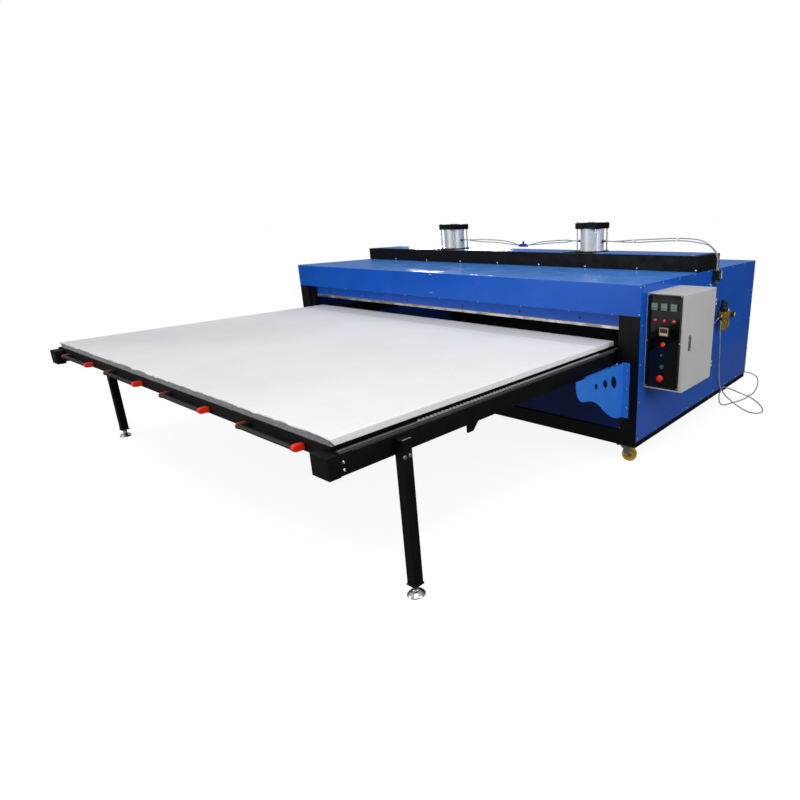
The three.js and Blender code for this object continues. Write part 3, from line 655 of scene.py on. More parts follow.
HOSE_DIAMETER = 10
TUBE_DIAMETER = 8
HOSE_ROUTE = [
    (1834, 1226, 769), (1834, 1226, 735), (1832, 1238, 660), (1824, 1285, 500), (1815, 1325, 370),
    (1812, 1360, 270), (1816, 1398, 196), (1837, 1437, 136), (1888, 1472, 76), (1965, 1476, 31),
    (2042, 1472, 9), (2098, 1492, 7), (2116, 1545, 7), (2097, 1618, 7), (2026, 1750, 7),
    (1940, 1856, 7), (1887, 1903, 8), (1838, 1902, 20), (1806, 1856, 46), (1795, 1780, 80),
    (1792, 1680, 116), (1792, 1585, 150), (1794, 1515, 165), (1800, 1450, 155), (1808, 1403, 112),
    (1818, 1410, 62), (1830, 1475, 33), (1850, 1620, 16), (1873, 1728, 9), (1896, 1815, 13),
    (1905, 1889, 20), (1903, 1970, 12), (1893, 2070, 7), (1850, 2300, 7), (1784, 2520, 7),
    (1713, 2650, 7), (1630, 2706, 7), (1545, 2694, 7), (1482, 2642, 7), (1456, 2590, 7),
    (1452, 2553, 6),
]
COIL_CENTRE = (1382, 2500)
COIL_OUTER, COIL_INNER = 70, 50
COIL_LAYERS = (6, 16, 26)
CONNECTOR_Z = 12


def coil_route():
    """Two layers of two turns, wound in and then out, clockwise from above, and half a turn on top."""
    stretches = [
        (2, COIL_OUTER, COIL_INNER, COIL_LAYERS[0], COIL_LAYERS[0]),
        (0.5, COIL_INNER, COIL_INNER, COIL_LAYERS[0], COIL_LAYERS[1]),
        (2, COIL_INNER, COIL_OUTER, COIL_LAYERS[1], COIL_LAYERS[1]),
        (0.5, COIL_OUTER, COIL_OUTER, COIL_LAYERS[1], COIL_LAYERS[2]),
    ]
    points, turn = [], 0.0
    for turns, radius, next_radius, height, next_height in stretches:
        count = round(turns * 40)
        for k in range(count):
            t = k / count
            angle = (turn + turns * t) * math.tau
            reach = radius + (next_radius - radius) * t
            x, y = COIL_CENTRE[0] + reach * math.cos(angle), COIL_CENTRE[1] - reach * math.sin(angle)
            points.append((x, y, height + (next_height - height) * t))
        turn += turns
    x, y = COIL_CENTRE[0] + COIL_OUTER, COIL_CENTRE[1]
    tail = [
        (x, y, 26), (x, y - 16, 25.6), (x + 1, y - 30, 22.5), (x + 1, y - 42, 17),
        (x, y - 53.7, CONNECTOR_Z),
    ]
    return points + smooth_route(tail, 4)


def supply_hose():
    """The machine's air inlet hose, its rest wound up behind the machine, and its quick coupling."""
    centre = (COIL_CENTRE[0] + COIL_OUTER, 0, CONNECTOR_Z)
    coupling = Piece("hose_coupling", "frame", "bright_steel")
    profile = [(0, -2446), (5.6, -2446), (6.5, -2444), (6.5, -2424), (7.4, -2422)]
    for k in range(10):
        profile += [
            (10.2, -2420 + k * 3.4), (11, -2419 + k * 3.4), (11, -2418 + k * 3.4), (10.2, -2417 + k * 3.4),
        ]
    profile += [
        (8, -2383), (5.6, -2381.5), (5.2, -2372), (6, -2370), (6, -2361), (5, -2359.4), (3.4, -2359.2),
    ]
    profile += [(3, -2366), (0, -2366)]
    coupling.turned(profile, centre, FRONT, STEEL, 28)
    coupling = coupling.done("hose_connector")
    route = smooth_route(HOSE_ROUTE, 9)[:-1]
    route += [Vector((HOSE_ROUTE[-1][0], y, COIL_LAYERS[0])) for y in (2553, 2540, 2527, 2514)]
    route += [Vector(p) for p in coil_route()]
    piece = cord_piece("air_hose", route, HOSE_DIAMETER)
    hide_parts("supply_hose", "supply_hose_coil")


supply_hose()

CROSS_FRONT, CROSS_REAR = 833.3, span("rear_cover")[1][0]
CROSS_MID = sum(span("cylinder_left")[1]) / 2
CYLINDER_HALF = 99
CYLINDER_FOOT, CAP_THICK = 10, 45
BARREL_OUTER, BARREL_INNER = 94, 88
ROD_INSET = 14
CYLINDER_X = {
    "left": span("cylinder_left")[0][0] + CYLINDER_HALF,
    "right": sum(span("cylinder_right")[0]) / 2,
}
PORT_Z = 1343
PORT_REACH = CYLINDER_HALF + 22.5
VALVE_X, VALVE_Y = span("solenoid_valve")[0][0] + 24, span("solenoid_valve")[1][0] + 26
TUBE_LIFT = 0.8


def air_tubes():
    """Two tubes from cylinder to cylinder, and two from the right cylinder to the valve."""
    start, end = CYLINDER_X["left"] + PORT_REACH, CYLINDER_X["right"] - PORT_REACH
    leave = CYLINDER_X["right"] + PORT_REACH
    for name, dy in (("front", -10), ("rear", 10)):
        y = CROSS_MID + dy
        lift = dy * TUBE_LIFT
        link = [
            (start, y, PORT_Z), (start + 70, y, PORT_Z), (-380, y + dy, 1338 + lift),
            (-200, y + dy, 1334 + lift), (-60, y, 1322 + lift), (60, y, 1304), (107, y, 1301),
            (155, y, 1304), (270, y + dy, 1320 + lift), (420, y + dy, 1333 + lift),
            (560, y, 1340 + lift), (end - 60, y, PORT_Z), (end, y, PORT_Z),
        ]
        tube = cord_piece(f"link_air_tube_{name}", smooth_route(link, 10), TUBE_DIAMETER)
        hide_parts(f"link_tube_{name}")
        port_y = VALVE_Y + dy
        drop = [
            (leave, y, PORT_Z), (leave + 80, y, 1342), (1180, y, 1345 + lift), (1320, y + 4, 1351 + lift),
            (1480, y + 10, 1358 + lift), (1600, y + 22, 1357 + lift), (1690, y + 40, 1344 + lift),
            (1752, y + 58, 1318), (1795, port_y - 5, 1270), (VALVE_X - 2, port_y, 1225),
            (VALVE_X, port_y, 1190), (VALVE_X, port_y, 1158.5),
        ]
        tube = cord_piece(f"valve_air_tube_{name}", smooth_route(drop, 10), TUBE_DIAMETER)
        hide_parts(f"valve_tube_{name}")


air_tubes()


# ---- welded frame, panels and rails -------------------------------------------------------
for node, bevel in {
    "base_frame": 4, "head_frame": 3, "front_column_left": 3, "front_column_right": 3, "rear_column_left": 3,
    "rear_column_right": 3, "rail_left": 1.5, "rail_right": 1.5, "leg_left": 2.5, "leg_right": 2.5,
    "table_frame": 2,
}.items():
    dress(node, BLACK, bevel)
for node in ("side_panel_left", "side_panel_right", "platen_casing"):
    dress(node, BLUE, 0.8)
dress("rear_cover", BLUE_REAR, 0.8)
# the lower front panel gets the darker blue as painted shade
dress("front_lower_panel", SHADED_BLUE, 0.8)
for node in ("gusset_left", "gusset_right"):
    dress(node, BLUE_PLATE, 0.9)
dress("heater_platen", PLATEN, 1)
for node in ("piston_rod_left", "piston_rod_right"):
    dress(node, STEEL, 0.6)
for node, bevel in {"enclosure_shell": 1, "enclosure_door": 2}.items():
    dress(node, GREY, bevel)

BODY_HALF = span("side_panel_right")[0][1]
BODY_TOP = span("side_panel_right")[2][1]
HOOD_X, HOOD_Y, HOOD_Z = span("front_hood")
CROSS_TOP = span("head_frame")[2][1]
HOOD_SEAM = 18


def hood():
    """Two folded sheets that meet a little right of the middle, with a lip turned in along the bottom."""
    lip_end = 1672
    for name, reach in (
        ("hood_sheet_left", (HOOD_X[0], HOOD_SEAM - 0.6)),
        ("hood_sheet_right", (HOOD_SEAM + 0.6, HOOD_X[1])),
    ):
        sheet = Piece(name, "frame", "blue_paint")
        path = [(0, HOOD_Z[0]), (0, BODY_TOP), (HOOD_Y[1], BODY_TOP)]
        sheet.add(folded_part(path[::-1], 2.5, 7, "x", reach), BLUE)
        inner = (max(reach[0], -lip_end), min(reach[1], lip_end))
        lip = [(0.4, HOOD_Z[0] + 30), (0.4, HOOD_Z[0]), (25, HOOD_Z[0])]
        sheet.add(folded_part(lip, 2.5, 4, "x", inner), BLUE)
        sheet.done("front_hood")
    screws = Piece("hood_screws", "frame", "bright_steel")
    for x, z in ((HOOD_SEAM - 7, 1136), (HOOD_SEAM + 7, 1136), (HOOD_SEAM - 7, 1001), (HOOD_SEAM + 7, 1001)):
        screw(screws, (x, 0, z), FRONT, 4)
    for sign in SIDES.values():
        for x, y, z in ((1780, 0, 1136), (1778, 0, 976), (1659, 20, 237), (1659, 20, 630)):
            screw(screws, (sign * x, y, z), FRONT, 4)
    for x in range(-1367, 1800, 448):
        screw(screws, (x, CROSS_FRONT, 1163), FRONT, 7)
    screws.done()


def side_screws():
    """Rows of screws round both side panels and the rear cover."""
    screws = Piece("panel_screws", "frame", "bright_steel")
    for sign in SIDES.values():
        axis = (sign, 0, 0)
        rows = [(26 + 250 * k, 1139) for k in range(9)]
        rows += [(20, z) for z in (193, 431, 669, 907)]
        rows += [(268 + 260.5 * k, 186) for k in range(7)]
        rows += [(2056, z) for z in (419, 664, 904)]
        for y, z in rows:
            screw(screws, (sign * BODY_HALF, y, z), axis, 6.2)
        for z in (627, 508, 387):
            screw(screws, (sign * 1712, -1, z), FRONT, 6)
    rear = span("rear_cover")[1][1]
    for k in range(13):
        for z in (1135, 187):
            screw(screws, (-1760 + k * 3520 / 12, rear, z), BACK, 5)
    for z in (400, 640, 900):
        for x in (-1770, 0, 1770):
            screw(screws, (x, rear, z), BACK, 5)
    screws.done()


def beam_covers():
    """Thin blue sheets on top of the cross beam, on both sides of each cylinder, in a dark edge strip."""
    top = CROSS_TOP
    for name, reach in (
        ("beam_cover_left", (-1745, -891)), ("beam_cover_middle", (-586, 634)),
        ("beam_cover_right", (919, 1745)),
    ):
        cover = Piece(name, "frame", "blue_paint")
        depth = (CROSS_FRONT + 22, CROSS_REAR - 22)
        cover.box(reach, depth, (top + 1, top + 3), BLUE, 0.6)
        cover.box(
            (reach[0] - 6, reach[1] + 6), (depth[0] - 6, depth[1] + 6), (top - 0.5, top + 1.2), BLACK, 0.4,
        )
        for x in (reach[0] + 30, reach[1] - 30):
            for y in (depth[0] + 25, depth[1] - 25):
                screw(cover, (x, y, top + 3), UP, 4.5)
        cover.done()


hood()
side_screws()
beam_covers()


# ---- pneumatic cylinders ------------------------------------------------------------------
def cylinder(side, x, port_sides):
    """Foot, satin barrel with end collars, ribbed black cap, tie rods with nuts, and push-in fittings."""
    box = span(f"cylinder_{side}")
    half = CYLINDER_HALF
    low, top = box[2]
    cap = top - CAP_THICK
    piece = Piece(f"cylinder_body_{side}", "frame", "aluminium")
    square = ((x - half, x + half), (CROSS_MID - half, CROSS_MID + half))
    piece.box(*square, (low, low + CYLINDER_FOOT), BLACK, 1.5)
    piece.box(*square, (cap, top), BLACK, 3, 3)
    piece.box(
        (x - half + 3, x + half - 3), (CROSS_MID - half + 3, CROSS_MID + half - 3), (cap - 2, cap + 1),
        BLACK, 0.5,
    )
    barrel = [
        (BARREL_OUTER, low + 9), (BARREL_OUTER, cap + 1), (BARREL_INNER, cap + 1), (BARREL_INNER, low + 9),
    ]
    collar = [(0, 0), (96.5, 0), (96.5, 12), (94, 13), (0, 13)]
    piece.turned(barrel, (x, CROSS_MID, 0), UP, BARREL, 72)
    piece.turned(eased(collar, 0.8), (x, CROSS_MID, low + 9.5), UP, BARREL, 72)
    piece.turned(eased(collar, 0.8), (x, CROSS_MID, cap - 0.5), DOWN, BARREL, 72)
    boss = eased([(0, 0), (34, 0), (34, 3), (30, 4), (12, 4), (11, 2), (0, 2)], 0.8)
    piece.turned(boss, (x, CROSS_MID, top - 0.5), UP, PLASTIC, 40)
    for dx, dy in ((-1, -1), (-1, 1), (1, -1), (1, 1)):
        place = (x + dx * (half - ROD_INSET), CROSS_MID + dy * (half - ROD_INSET))
        piece.turned(disc(6, low + 9, cap + 1), (*place, 0), UP, STEEL, 16)
        nut = [(0, 0), (9.5, 0), (9.5, 7), (8.6, 8), (0, 8)]
        piece.turned(nut, (*place, low + 9.5), UP, STEEL, 24, hexagon(0))
        recess = [(0, 0.2), (10, 0.2), (10.6, -0.4), (11.4, -0.4), (11.4, -1), (0, -1)]
        piece.turned(recess[::-1], (*place, top), UP, PLASTIC, 24)
        socket_screw(piece, (*place, top), UP, 7.5)
    for sign in port_sides:
        for dy in (-10, 10):
            base = (x + sign * 91, CROSS_MID + dy, PORT_Z)
            body = [
                (0, 0), (9.3, 0), (9.3, 7), (8.2, 8), (6.8, 8.5), (6.8, 14), (7.5, 14.6), (7.5, 25),
                (8.6, 25.6), (8.6, 29), (7.4, 29.9), (4.3, 29.9), (4.1, 24), (0, 24),
            ]
            piece.turned([*body[:5], (0, 8.5)], base, (sign, 0, 0), ZINC, 24, hexagon(0))
            piece.turned([(0, 8), *body[4:]], base, (sign, 0, 0), PLASTIC, 24)
    piece.done(f"cylinder_{side}")


cylinder("left", CYLINDER_X["left"], (1,))
cylinder("right", CYLINDER_X["right"], (-1, 1))


def tube_fittings():
    """The blue union where the link tubes meet, and bands of white tape on the tubes to the valve."""
    x, y, z = 107, CROSS_MID, 1301
    union = Piece("tube_union", "frame", "clear_tube")
    union.box((x - 22, x + 22), (y - 22, y + 22), (z - 12, z + 14), BLUE_FITTING, 4, 3)
    for dy in (-10, 10):
        for sign in SIDES.values():
            collar = eased([(4.1, 20), (9, 20), (9, 32), (10, 33), (10, 38), (7, 40), (4.1, 40)], 0.8)
            union.turned(collar, (x, y + dy, z), (sign, 0, -0.07), BLUE_FITTING, 24)
    plug = eased([(0, 12), (9, 12), (9, 26), (11, 27), (11, 32), (8, 34), (0, 34)], 0.8)
    union.turned(plug, (x, y, z), UP, BLUE_FITTING, 24)
    union.done()
    bands = Piece("tape_bands", "frame", "clear_tube")
    for x, shift, z in ((1179, 0, 1345), (1526, 14, 1358)):
        low, high = CROSS_MID + shift - 16, CROSS_MID + shift + 16
        outline = eased([(low, z - 15), (high, z + 1), (high, z + 15), (low, z - 1)], 7, 4, True)
        bands.prism(outline, "x", (x - 9, x + 9), TAPE, 0.5)
    bands.done()


tube_fittings()


# ---- heated platen ------------------------------------------------------------------------
def platen_details():
    """The insulation board that shows above the plate, and plugged holes along the casing's front."""
    (x0, x1), (y0, y1), (z0, z1) = span("heater_platen")
    board = Piece("insulation_strip", "platen", "aluminium")
    seam = (z1 - 2.5, z1 + 3)
    board.box((x0 + 1, x1 - 1), (y0 - 0.8, y0 + 6), seam, TAN, 0.5)
    board.box((x1 - 6, x1 + 0.8), (y0, y1 - 1), seam, TAN, 0.5)
    board.box((x0 - 0.8, x0 + 6), (y0, y1 - 1), seam, TAN, 0.5)
    board.done()
    plugs = Piece("casing_plugs", "platen", "black_paint")
    for x in (-1407, -874, -341, 284, 827, 1326):
        ring = eased([(5.5, 0), (10, 0), (10, 1.2), (8, 2), (5.5, 1.6)], 0.4)
        plugs.turned(ring, (x, y0, 911), FRONT, PLASTIC, 28)
        # painted shade: a dark disc in the plug ring stands for the hole
        plugs.turned(disc(5.8, 0.2, 0.5), (x, y0, 911), FRONT, HOLE_SHADE, 20)
    for x in (-1560, -1160, -760, -360, 40, 440, 840, 1240, 1560):
        screw(plugs, (x, y0, 952), FRONT, 4.5)
    plugs.done()


platen_details()


# ---- rails, legs and feet -----------------------------------------------------------------
RAIL_OUTER = 1617.4
LEG_X, LEG_Y = 1642.7, -1713


def rail_details(side, sign):
    """The table's guide strip and rack, with the bolts of the end stop, the leg and the gusset."""
    outer = RAIL_OUTER * sign

    def across(a, b):
        return tuple(sorted((sign * a, sign * b)))

    strip = Piece(f"rail_strip_{side}", "frame", "zinc")
    strip.box(across(1600, 1615), (-1984, 1960), (744.5, 747), DULL_STEEL, 0.5)
    strip.box(across(1617.2, 1618.6), (-1984, 0), (738, 744), DULL_STEEL, 0.4)
    strip.box(across(1617.2, 1618.2), (-1928, 0), (732.5, 735), DULL_STEEL, 0.3)
    pitch = 22.5
    for k in range(64):
        start = -1596 + k * pitch
        tooth = [(start, 746.5), (start + 4, 753), (start + 12, 753), (start + 16, 746.5)]
        strip.prism(tooth, "x", across(1601, 1614), RACK)
    strip.done()

    bolts = Piece(f"rail_bolts_{side}", "frame", "bright_steel")
    axis = (sign, 0, 0)
    for z in (704, 673):
        socket_screw(bolts, (outer, -1971, z), axis, 7)
    leg_face = sign * (LEG_X + 25)
    for y in (-1729, -1702):
        hex_bolt(bolts, (leg_face, y, 649), axis, 7)
    for y in (-300, -180, -60):
        socket_screw(bolts, (sign * 1640, y, 649.7), UP, 7)
    bolts.done()

    weld = Piece(f"leg_weld_{side}", "frame", "black_paint")
    points = []
    for k in range(27):
        x = sign * (LEG_X + 22.5 + 0.8 * math.sin(k * 1.9))
        points.append((x, LEG_Y - 22 + k * 1.7, 720.5 + 0.6 * math.sin(k * 2.7)))
    weld.sweep(points, lambda t: 1.9 + 0.5 * math.sin(t * 60), WELD, 8)
    weld.done()


for side, sign in SIDES.items():
    rail_details(side, sign)


def foot(side, sign):
    """A chrome bell foot on a threaded stem, with its lock nut."""
    x, y = sign * LEG_X, LEG_Y
    piece = Piece(f"levelling_foot_{side}", f"foot_{side}", "bright_steel")
    bell = eased([
        (0, 0), (39, 0), (40, 1.5), (40, 4), (35, 10), (25, 19), (15, 25), (13, 28), (13, 38), (12, 40),
        (0, 40),
    ], 2)
    piece.turned(bell, (x, y, 0), UP, STEEL, 48)
    piece.turned([(0, 39), (15, 39), (15, 41), (14, 42), (0, 42)], (x, y, 0), UP, STEEL, 30, hexagon(0))
    turns = [point for k in range(46) for point in ((7.1, 42 + k * 2), (8, 43 + k * 2))]
    thread = [(0, 40), *turns, (0, 134)]
    piece.turned(thread, (x, y, 0), UP, ZINC, 20)
    nut = [(0, 42), (12, 42), (13, 43), (13, 50.4), (12, 51.6), (0, 51.6)]
    piece.turned(nut, (x, y, 0), UP, STEEL, 24, hexagon(0))
    piece.done(f"foot_{side}")


for side, sign in SIDES.items():
    foot(side, sign)


# ---- table --------------------------------------------------------------------------------
FRONT_HEM = ((1.2, 0.16), (1.8, 0.53), (1.0, 0.87), (-4.0, 1.0))
SIDE_HEM = ((1.2, 0.04), (1.8, 0.13), (0.6, 0.96), (-2.0, 1.0))


def felt_relief(x, y, front, right):
    """How far the felt stands up or sags: slow waves, curls at the front and creases at the right."""
    slow = noise.noise(Vector((x / 620, y / 620, 3.1))) * 1.6
    fine = noise.noise(Vector((x / 140, y / 140, 8.7))) * 0.5
    curl = noise.noise(Vector((x / 60, 0.5, 1.3))) * 3 + noise.noise(Vector((x / 18, 2.5, 1.3))) * 1.4
    near_front = max(0, 1 - (y - front) / 60)
    near_right = max(0, 1 - (right - x) / 160)
    crease = right - 42 + 14 * noise.noise(Vector((y / 150, 6.1, 0.2)))
    strength = max(0, noise.noise(Vector((y / 230, 9.4, 4.0))) + 0.15)
    ridge = 2.4 * math.exp(-((x - crease) / 9) ** 2) * strength
    ripple = near_right * 2.2 * noise.noise(Vector((x / 30, y / 260, 5)))
    return slow + fine + near_front * curl + ripple + ridge


def felt_pad():
    """A foam bed with a felt sheet over it, whose front edge is cut by hand."""
    (x0, x1), (y0, y1), (z0, z1) = span("table_pad")
    columns, rows = 420, 120
    top = z1 - 2
    part = bmesh.new()
    grid = {}
    for i in range(columns + 1):
        x = x0 + (x1 - x0) * i / columns
        cut = 9 * noise.noise(Vector((x / 95, 4.2, 0.3))) + 4 * noise.noise(Vector((x / 26, 1.2, 0.8)))
        start = y0 + 3 + (9 + cut) * min(1, (x1 - x) / 160)
        for j in range(rows + 1):
            y = start + (y1 - start) * j / rows
            grid[i, j] = part.verts.new((x, y, top + felt_relief(x, y, y0, x1)))
    for i in range(columns):
        for j in range(rows):
            part.faces.new((grid[i, j], grid[i + 1, j], grid[i + 1, j + 1], grid[i, j + 1]))
    rim = [(i, 0) for i in range(columns + 1)]
    rim += [(columns, j) for j in range(1, rows + 1)]
    rim += [(i, rows) for i in range(columns - 1, -1, -1)]
    rim += [(0, j) for j in range(rows - 1, 0, -1)]
    previous = [grid[spot] for spot in rim]
    for front_step, side_step in zip(FRONT_HEM, SIDE_HEM):
        ring = []
        for i, j in rim:
            place = grid[i, j].co
            outward = Vector(((i == columns) - (i == 0), (j == rows) - (j == 0), 0))
            (reach, share), depth = (front_step, 7.5) if j == 0 else (side_step, place.z - z0 - 3)
            ring.append(part.verts.new(place + outward * reach - Vector((0, 0, share * depth))))
        for k in range(len(rim)):
            j = (k + 1) % len(rim)
            part.faces.new((previous[k], previous[j], ring[j], ring[k]))
        previous = ring
    part.faces.new(previous[::-1])
    felt = Piece("felt_top", "table", "felt")
    felt.add(part, FELT)
    felt = felt.done("table_pad", sharp=60)

    bed = Piece("foam_bed", "table", "felt")
    block = box_part((x0 + 5, x1 - 5), (y0 + 8, y1 - 6), (z0, top - 5), 2)
    long_edges = [e for e in block.edges if abs((e.verts[0].co - e.verts[1].co).x) > 1000]
    bmesh.ops.subdivide_edges(block, edges=long_edges, cuts=260, use_grid_fill=True)
    for vertex in block.verts:
        if vertex.co.y < y0 + 40:
            vertex.co.y += 2.2 * noise.noise(Vector((vertex.co.x / 40, vertex.co.z / 12, 7.0)))
    bed.add(block, FOAM)
    bed = bed.done("table_pad", sharp=60)


felt_pad()


def handle(index):
    """A pull bar on two arms, each closed by a rounded red end cap."""
    (x0, x1), (y0, y1), (z0, z1) = span(f"handle_{index}")
    bar_y, bar_z = y0 + 12, (z0 + z1) / 2
    piece = Piece(f"pull_handle_{index}", "table", "black_plastic")
    piece.turned(eased(disc(10, 0, x1 - x0 - 12), 0.8), (x0 + 6, bar_y, bar_z), RIGHT, PLASTIC, 28)
    flute = [(0, 0), (10.7, 0.6), (10.7, 2.4), (0, 3)]
    for k in range(9):
        piece.turned(flute, (x0 + (x1 - x0) * (0.3 + 0.05 * k), bar_y, bar_z), RIGHT, PLASTIC, 28)
    for end, sign, wide in ((x0, -1, 5), (x1, 1, 23)):
        outer, joint, inner = end, end - sign * wide, end - sign * 30
        arm = eased([(y0 + 1.5, z0 + 4), (y1, z0 + 1), (y1, z1 - 1), (y0 + 1.5, z1 - 4)], 9, 5, True)
        piece.prism(arm, "x", tuple(sorted((joint, inner))), PLASTIC, 1.5)
        cap = eased([(y0, z0 + 1), (y1, z0), (y1, z1), (y0, z1 - 1)], 13, 6, True)
        piece.prism(cap, "x", tuple(sorted((outer, joint))), RED, 3)
        reach = sorted((inner - sign * 4, outer))
        piece.prism(rounded(reach, (z0 + 2, z1 - 2), 4), "y", (y1 - 5, y1), PLASTIC, 0.8)
    piece.done(f"handle_{index}")


for index in range(1, 5):
    handle(index)


# ---- control enclosure --------------------------------------------------------------------
PANEL_FACE = 69.3
PANEL_X = span("control_panel")[0]
CONTROL_X = sum(span("emergency_stop")[0]) / 2
ROUND_Z = {"stop_button": 800, "mode_selector": 733, "start_button": 665, "emergency_stop": 597}
DISPLAY_X = (1842, 1902, 1962)
LAMP_X = (1847, 1906, 1965)


def ring_at(piece, x, z, look, outer=14.5, inner=12.9, proud=8.0):
    """A bezel ring on the panel."""
    profile = [
        (inner, -0.4), (outer, -0.4), (outer, proud - 2.2), (outer - 0.5, proud - 0.8), (inner + 0.5, proud),
        (inner, proud - 0.8),
    ]
    piece.turned(profile, (x, PANEL_FACE, z), FRONT, look, 36)


SEGMENTS = {
    "0": "abcdef", "1": "bc", "2": "abged", "5": "afgcd", "8": "abcdefg",
}


def digit(piece, x, z, y, value, look, wide=5.2, tall=9.0):
    """A seven-segment figure on a display."""
    half, thick = tall / 2, 1.0
    bars = {
        "a": ((0, wide), (tall - thick, tall)), "g": ((0, wide), (half - thick / 2, half + thick / 2)),
        "d": ((0, wide), (0, thick)), "f": ((0, thick), (half, tall)),
        "b": ((wide - thick, wide), (half, tall)),
        "e": ((0, thick), (0, half)), "c": ((wide - thick, wide), (0, half)),
    }
    for name in SEGMENTS[value]:
        across, height = bars[name]
        piece.box(
            (x + across[0], x + across[1]), (y - 0.3, y + 0.2), (z + height[0] + 0.15, z + height[1] - 0.15),
            look, 0.15, 1,
        )


def control_panel():
    """A black plate with a glossy overlay, three controllers, three lamps, a timer and the bezel rings."""
    y = PANEL_FACE
    plate = Piece("control_panel_plate", "frame", "gloss_panel")
    plate.box(PANEL_X, (y + 0.6, 72.3), (530, 1093), PLASTIC, 1)
    overlay = rounded((1806, 2000), (541, 1060), 16, 6)
    plate.prism(overlay, "y", (y - 0.2, y + 0.8), OVERLAY, 0.3)
    band = rounded((1806, 2000), (1064, 1086), 5, 4)
    plate.prism(band, "y", (y - 0.2, y + 0.8), OVERLAY, 0.3)
    for x, z in ((1801, 1087), (2004, 1087), (1800, 816), (2005, 815), (1800, 537), (2004, 537)):
        screw(plate, (x, y + 0.6, z), FRONT, 4.6)
    for x, figures in zip(DISPLAY_X, ("180", "180", "205")):
        bezel = rounded((x - 24, x + 24), (998, 1046), 2.5)
        plate.prism(bezel, "y", (y - 5, y + 0.6), PLASTIC, 0.8)
        plate.box((x - 20, x + 17), (y - 5.5, y - 4), (1014, 1042), LCD, 0.4)
        plate.box((x - 20, x + 17), (y - 5.6, y - 4), (1002, 1011), KHAKI, 0.5)
        for k, value in enumerate(figures):
            digit(plate, x - 14 + k * 9, 1026, y - 5.5, value, LCD_DARK)
        for k in range(4):
            plate.box((x - 18 + k * 9, x - 12 + k * 9), (y - 6.2, y - 5), (1004, 1009), BEIGE, 0.6)
    for x in LAMP_X:
        ring_at(plate, x, 941, PLASTIC, 15, 11.5, 4)
        dome = eased([(0, 0), (11.5, 0), (11.5, 4.5), (8.4, 7.6), (4.4, 8.8), (0, 9.2)], 1.5)
        plate.turned(dome, (x, y, 941), FRONT, LAMP_RED, 36)
    timer = rounded((1878, 1933), (852, 902), 3)
    plate.prism(timer, "y", (y - 6, y + 0.6), BEIGE, 1)
    plate.box((1883, 1928), (y - 6.5, y - 5.2), (872, 896), LCD_DARK, 0.5)
    for k, value in enumerate("0180"):
        digit(plate, 1887 + k * 9.5, 879, y - 6.5, value, LAMP_RED, 5.6, 10)
    for k in range(4):
        plate.box((1882 + k * 12.4, 1890 + k * 12.4), (y - 7.4, y - 5.6), (857, 866), CREAM, 1)
    rings = {
        "stop_button": STEEL, "mode_selector": PLASTIC, "start_button": PLASTIC, "emergency_stop": PLASTIC,
    }
    for name, z in ROUND_Z.items():
        ring_at(plate, CONTROL_X, z, rings[name])
    plate.done("control_panel")


def push_button(name, look):
    """A round push button with a dished cap."""
    z = ROUND_Z[name]
    piece = Piece(f"{name}_cap", name, "red_plastic" if look is RED else "green_plastic")
    cap = eased([(0, 3.4), (12, 3.4), (12, 7.6), (10.6, 9), (7, 8.4), (0, 8)], 0.9)
    piece.turned(cap, (CONTROL_X, PANEL_FACE, z), FRONT, look, 36)
    piece.turned(disc(8, -20, 4), (CONTROL_X, PANEL_FACE, z), FRONT, PLASTIC, 20)
    piece.done(name)


def selector():
    """A two-place selector: a round base and a pointed lever with a white line."""
    z = ROUND_Z["mode_selector"]
    y = PANEL_FACE
    piece = Piece("mode_selector_knob", "mode_selector", "black_plastic")
    base = eased([(0, 0.6), (12, 0.6), (12, 7.4), (10.8, 8.8), (0, 9)], 0.8)
    piece.turned(base, (CONTROL_X, y, z), FRONT, PLASTIC, 36)
    lever = eased([(-4, -11), (4, -11), (4, 9), (0, 12.5), (-4, 9)], 2.2, 3, True)
    piece.prism([(CONTROL_X + a, z + b) for a, b in lever], "y", (y - 20, y - 8), PLASTIC, 1.2)
    piece.box((CONTROL_X - 0.9, CONTROL_X + 0.9), (y - 20.3, y - 19), (z, z + 9), WHITE_MARK, 0.3)
    piece.turned(disc(8, -20, 2), (CONTROL_X, y, z), FRONT, PLASTIC, 20)
    piece.done("mode_selector")


def emergency_stop():
    """A red mushroom head on a collar, with three curved marks on its face."""
    z = ROUND_Z["emergency_stop"]
    piece = Piece("emergency_stop_head", "emergency_stop", "red_plastic")
    head = eased([
        (0, 4), (11.6, 4), (11.8, 17), (19, 19), (20, 21), (20, 27), (17.5, 31.5), (12, 33.4), (0, 34),
    ], 1.6, 4)
    piece.turned(head, (CONTROL_X, PANEL_FACE, z), FRONT, RED, 44)
    piece.turned(disc(8, -20, 5), (CONTROL_X, PANEL_FACE, z), FRONT, PLASTIC, 20)
    for k in range(3):
        angle = k * math.tau / 3
        spokes = [angle + t * 0.12 for t in range(9)]
        points = [(CONTROL_X + 11 * math.cos(a), PANEL_FACE - 33.3, z + 11 * math.sin(a)) for a in spokes]
        piece.sweep(points, lambda t: 0.5 + 0.9 * (1 - t), LAMP_RED, 8)
    piece.done("emergency_stop")


control_panel()
push_button("stop_button", RED)
push_button("start_button", GREEN)
selector()
emergency_stop()


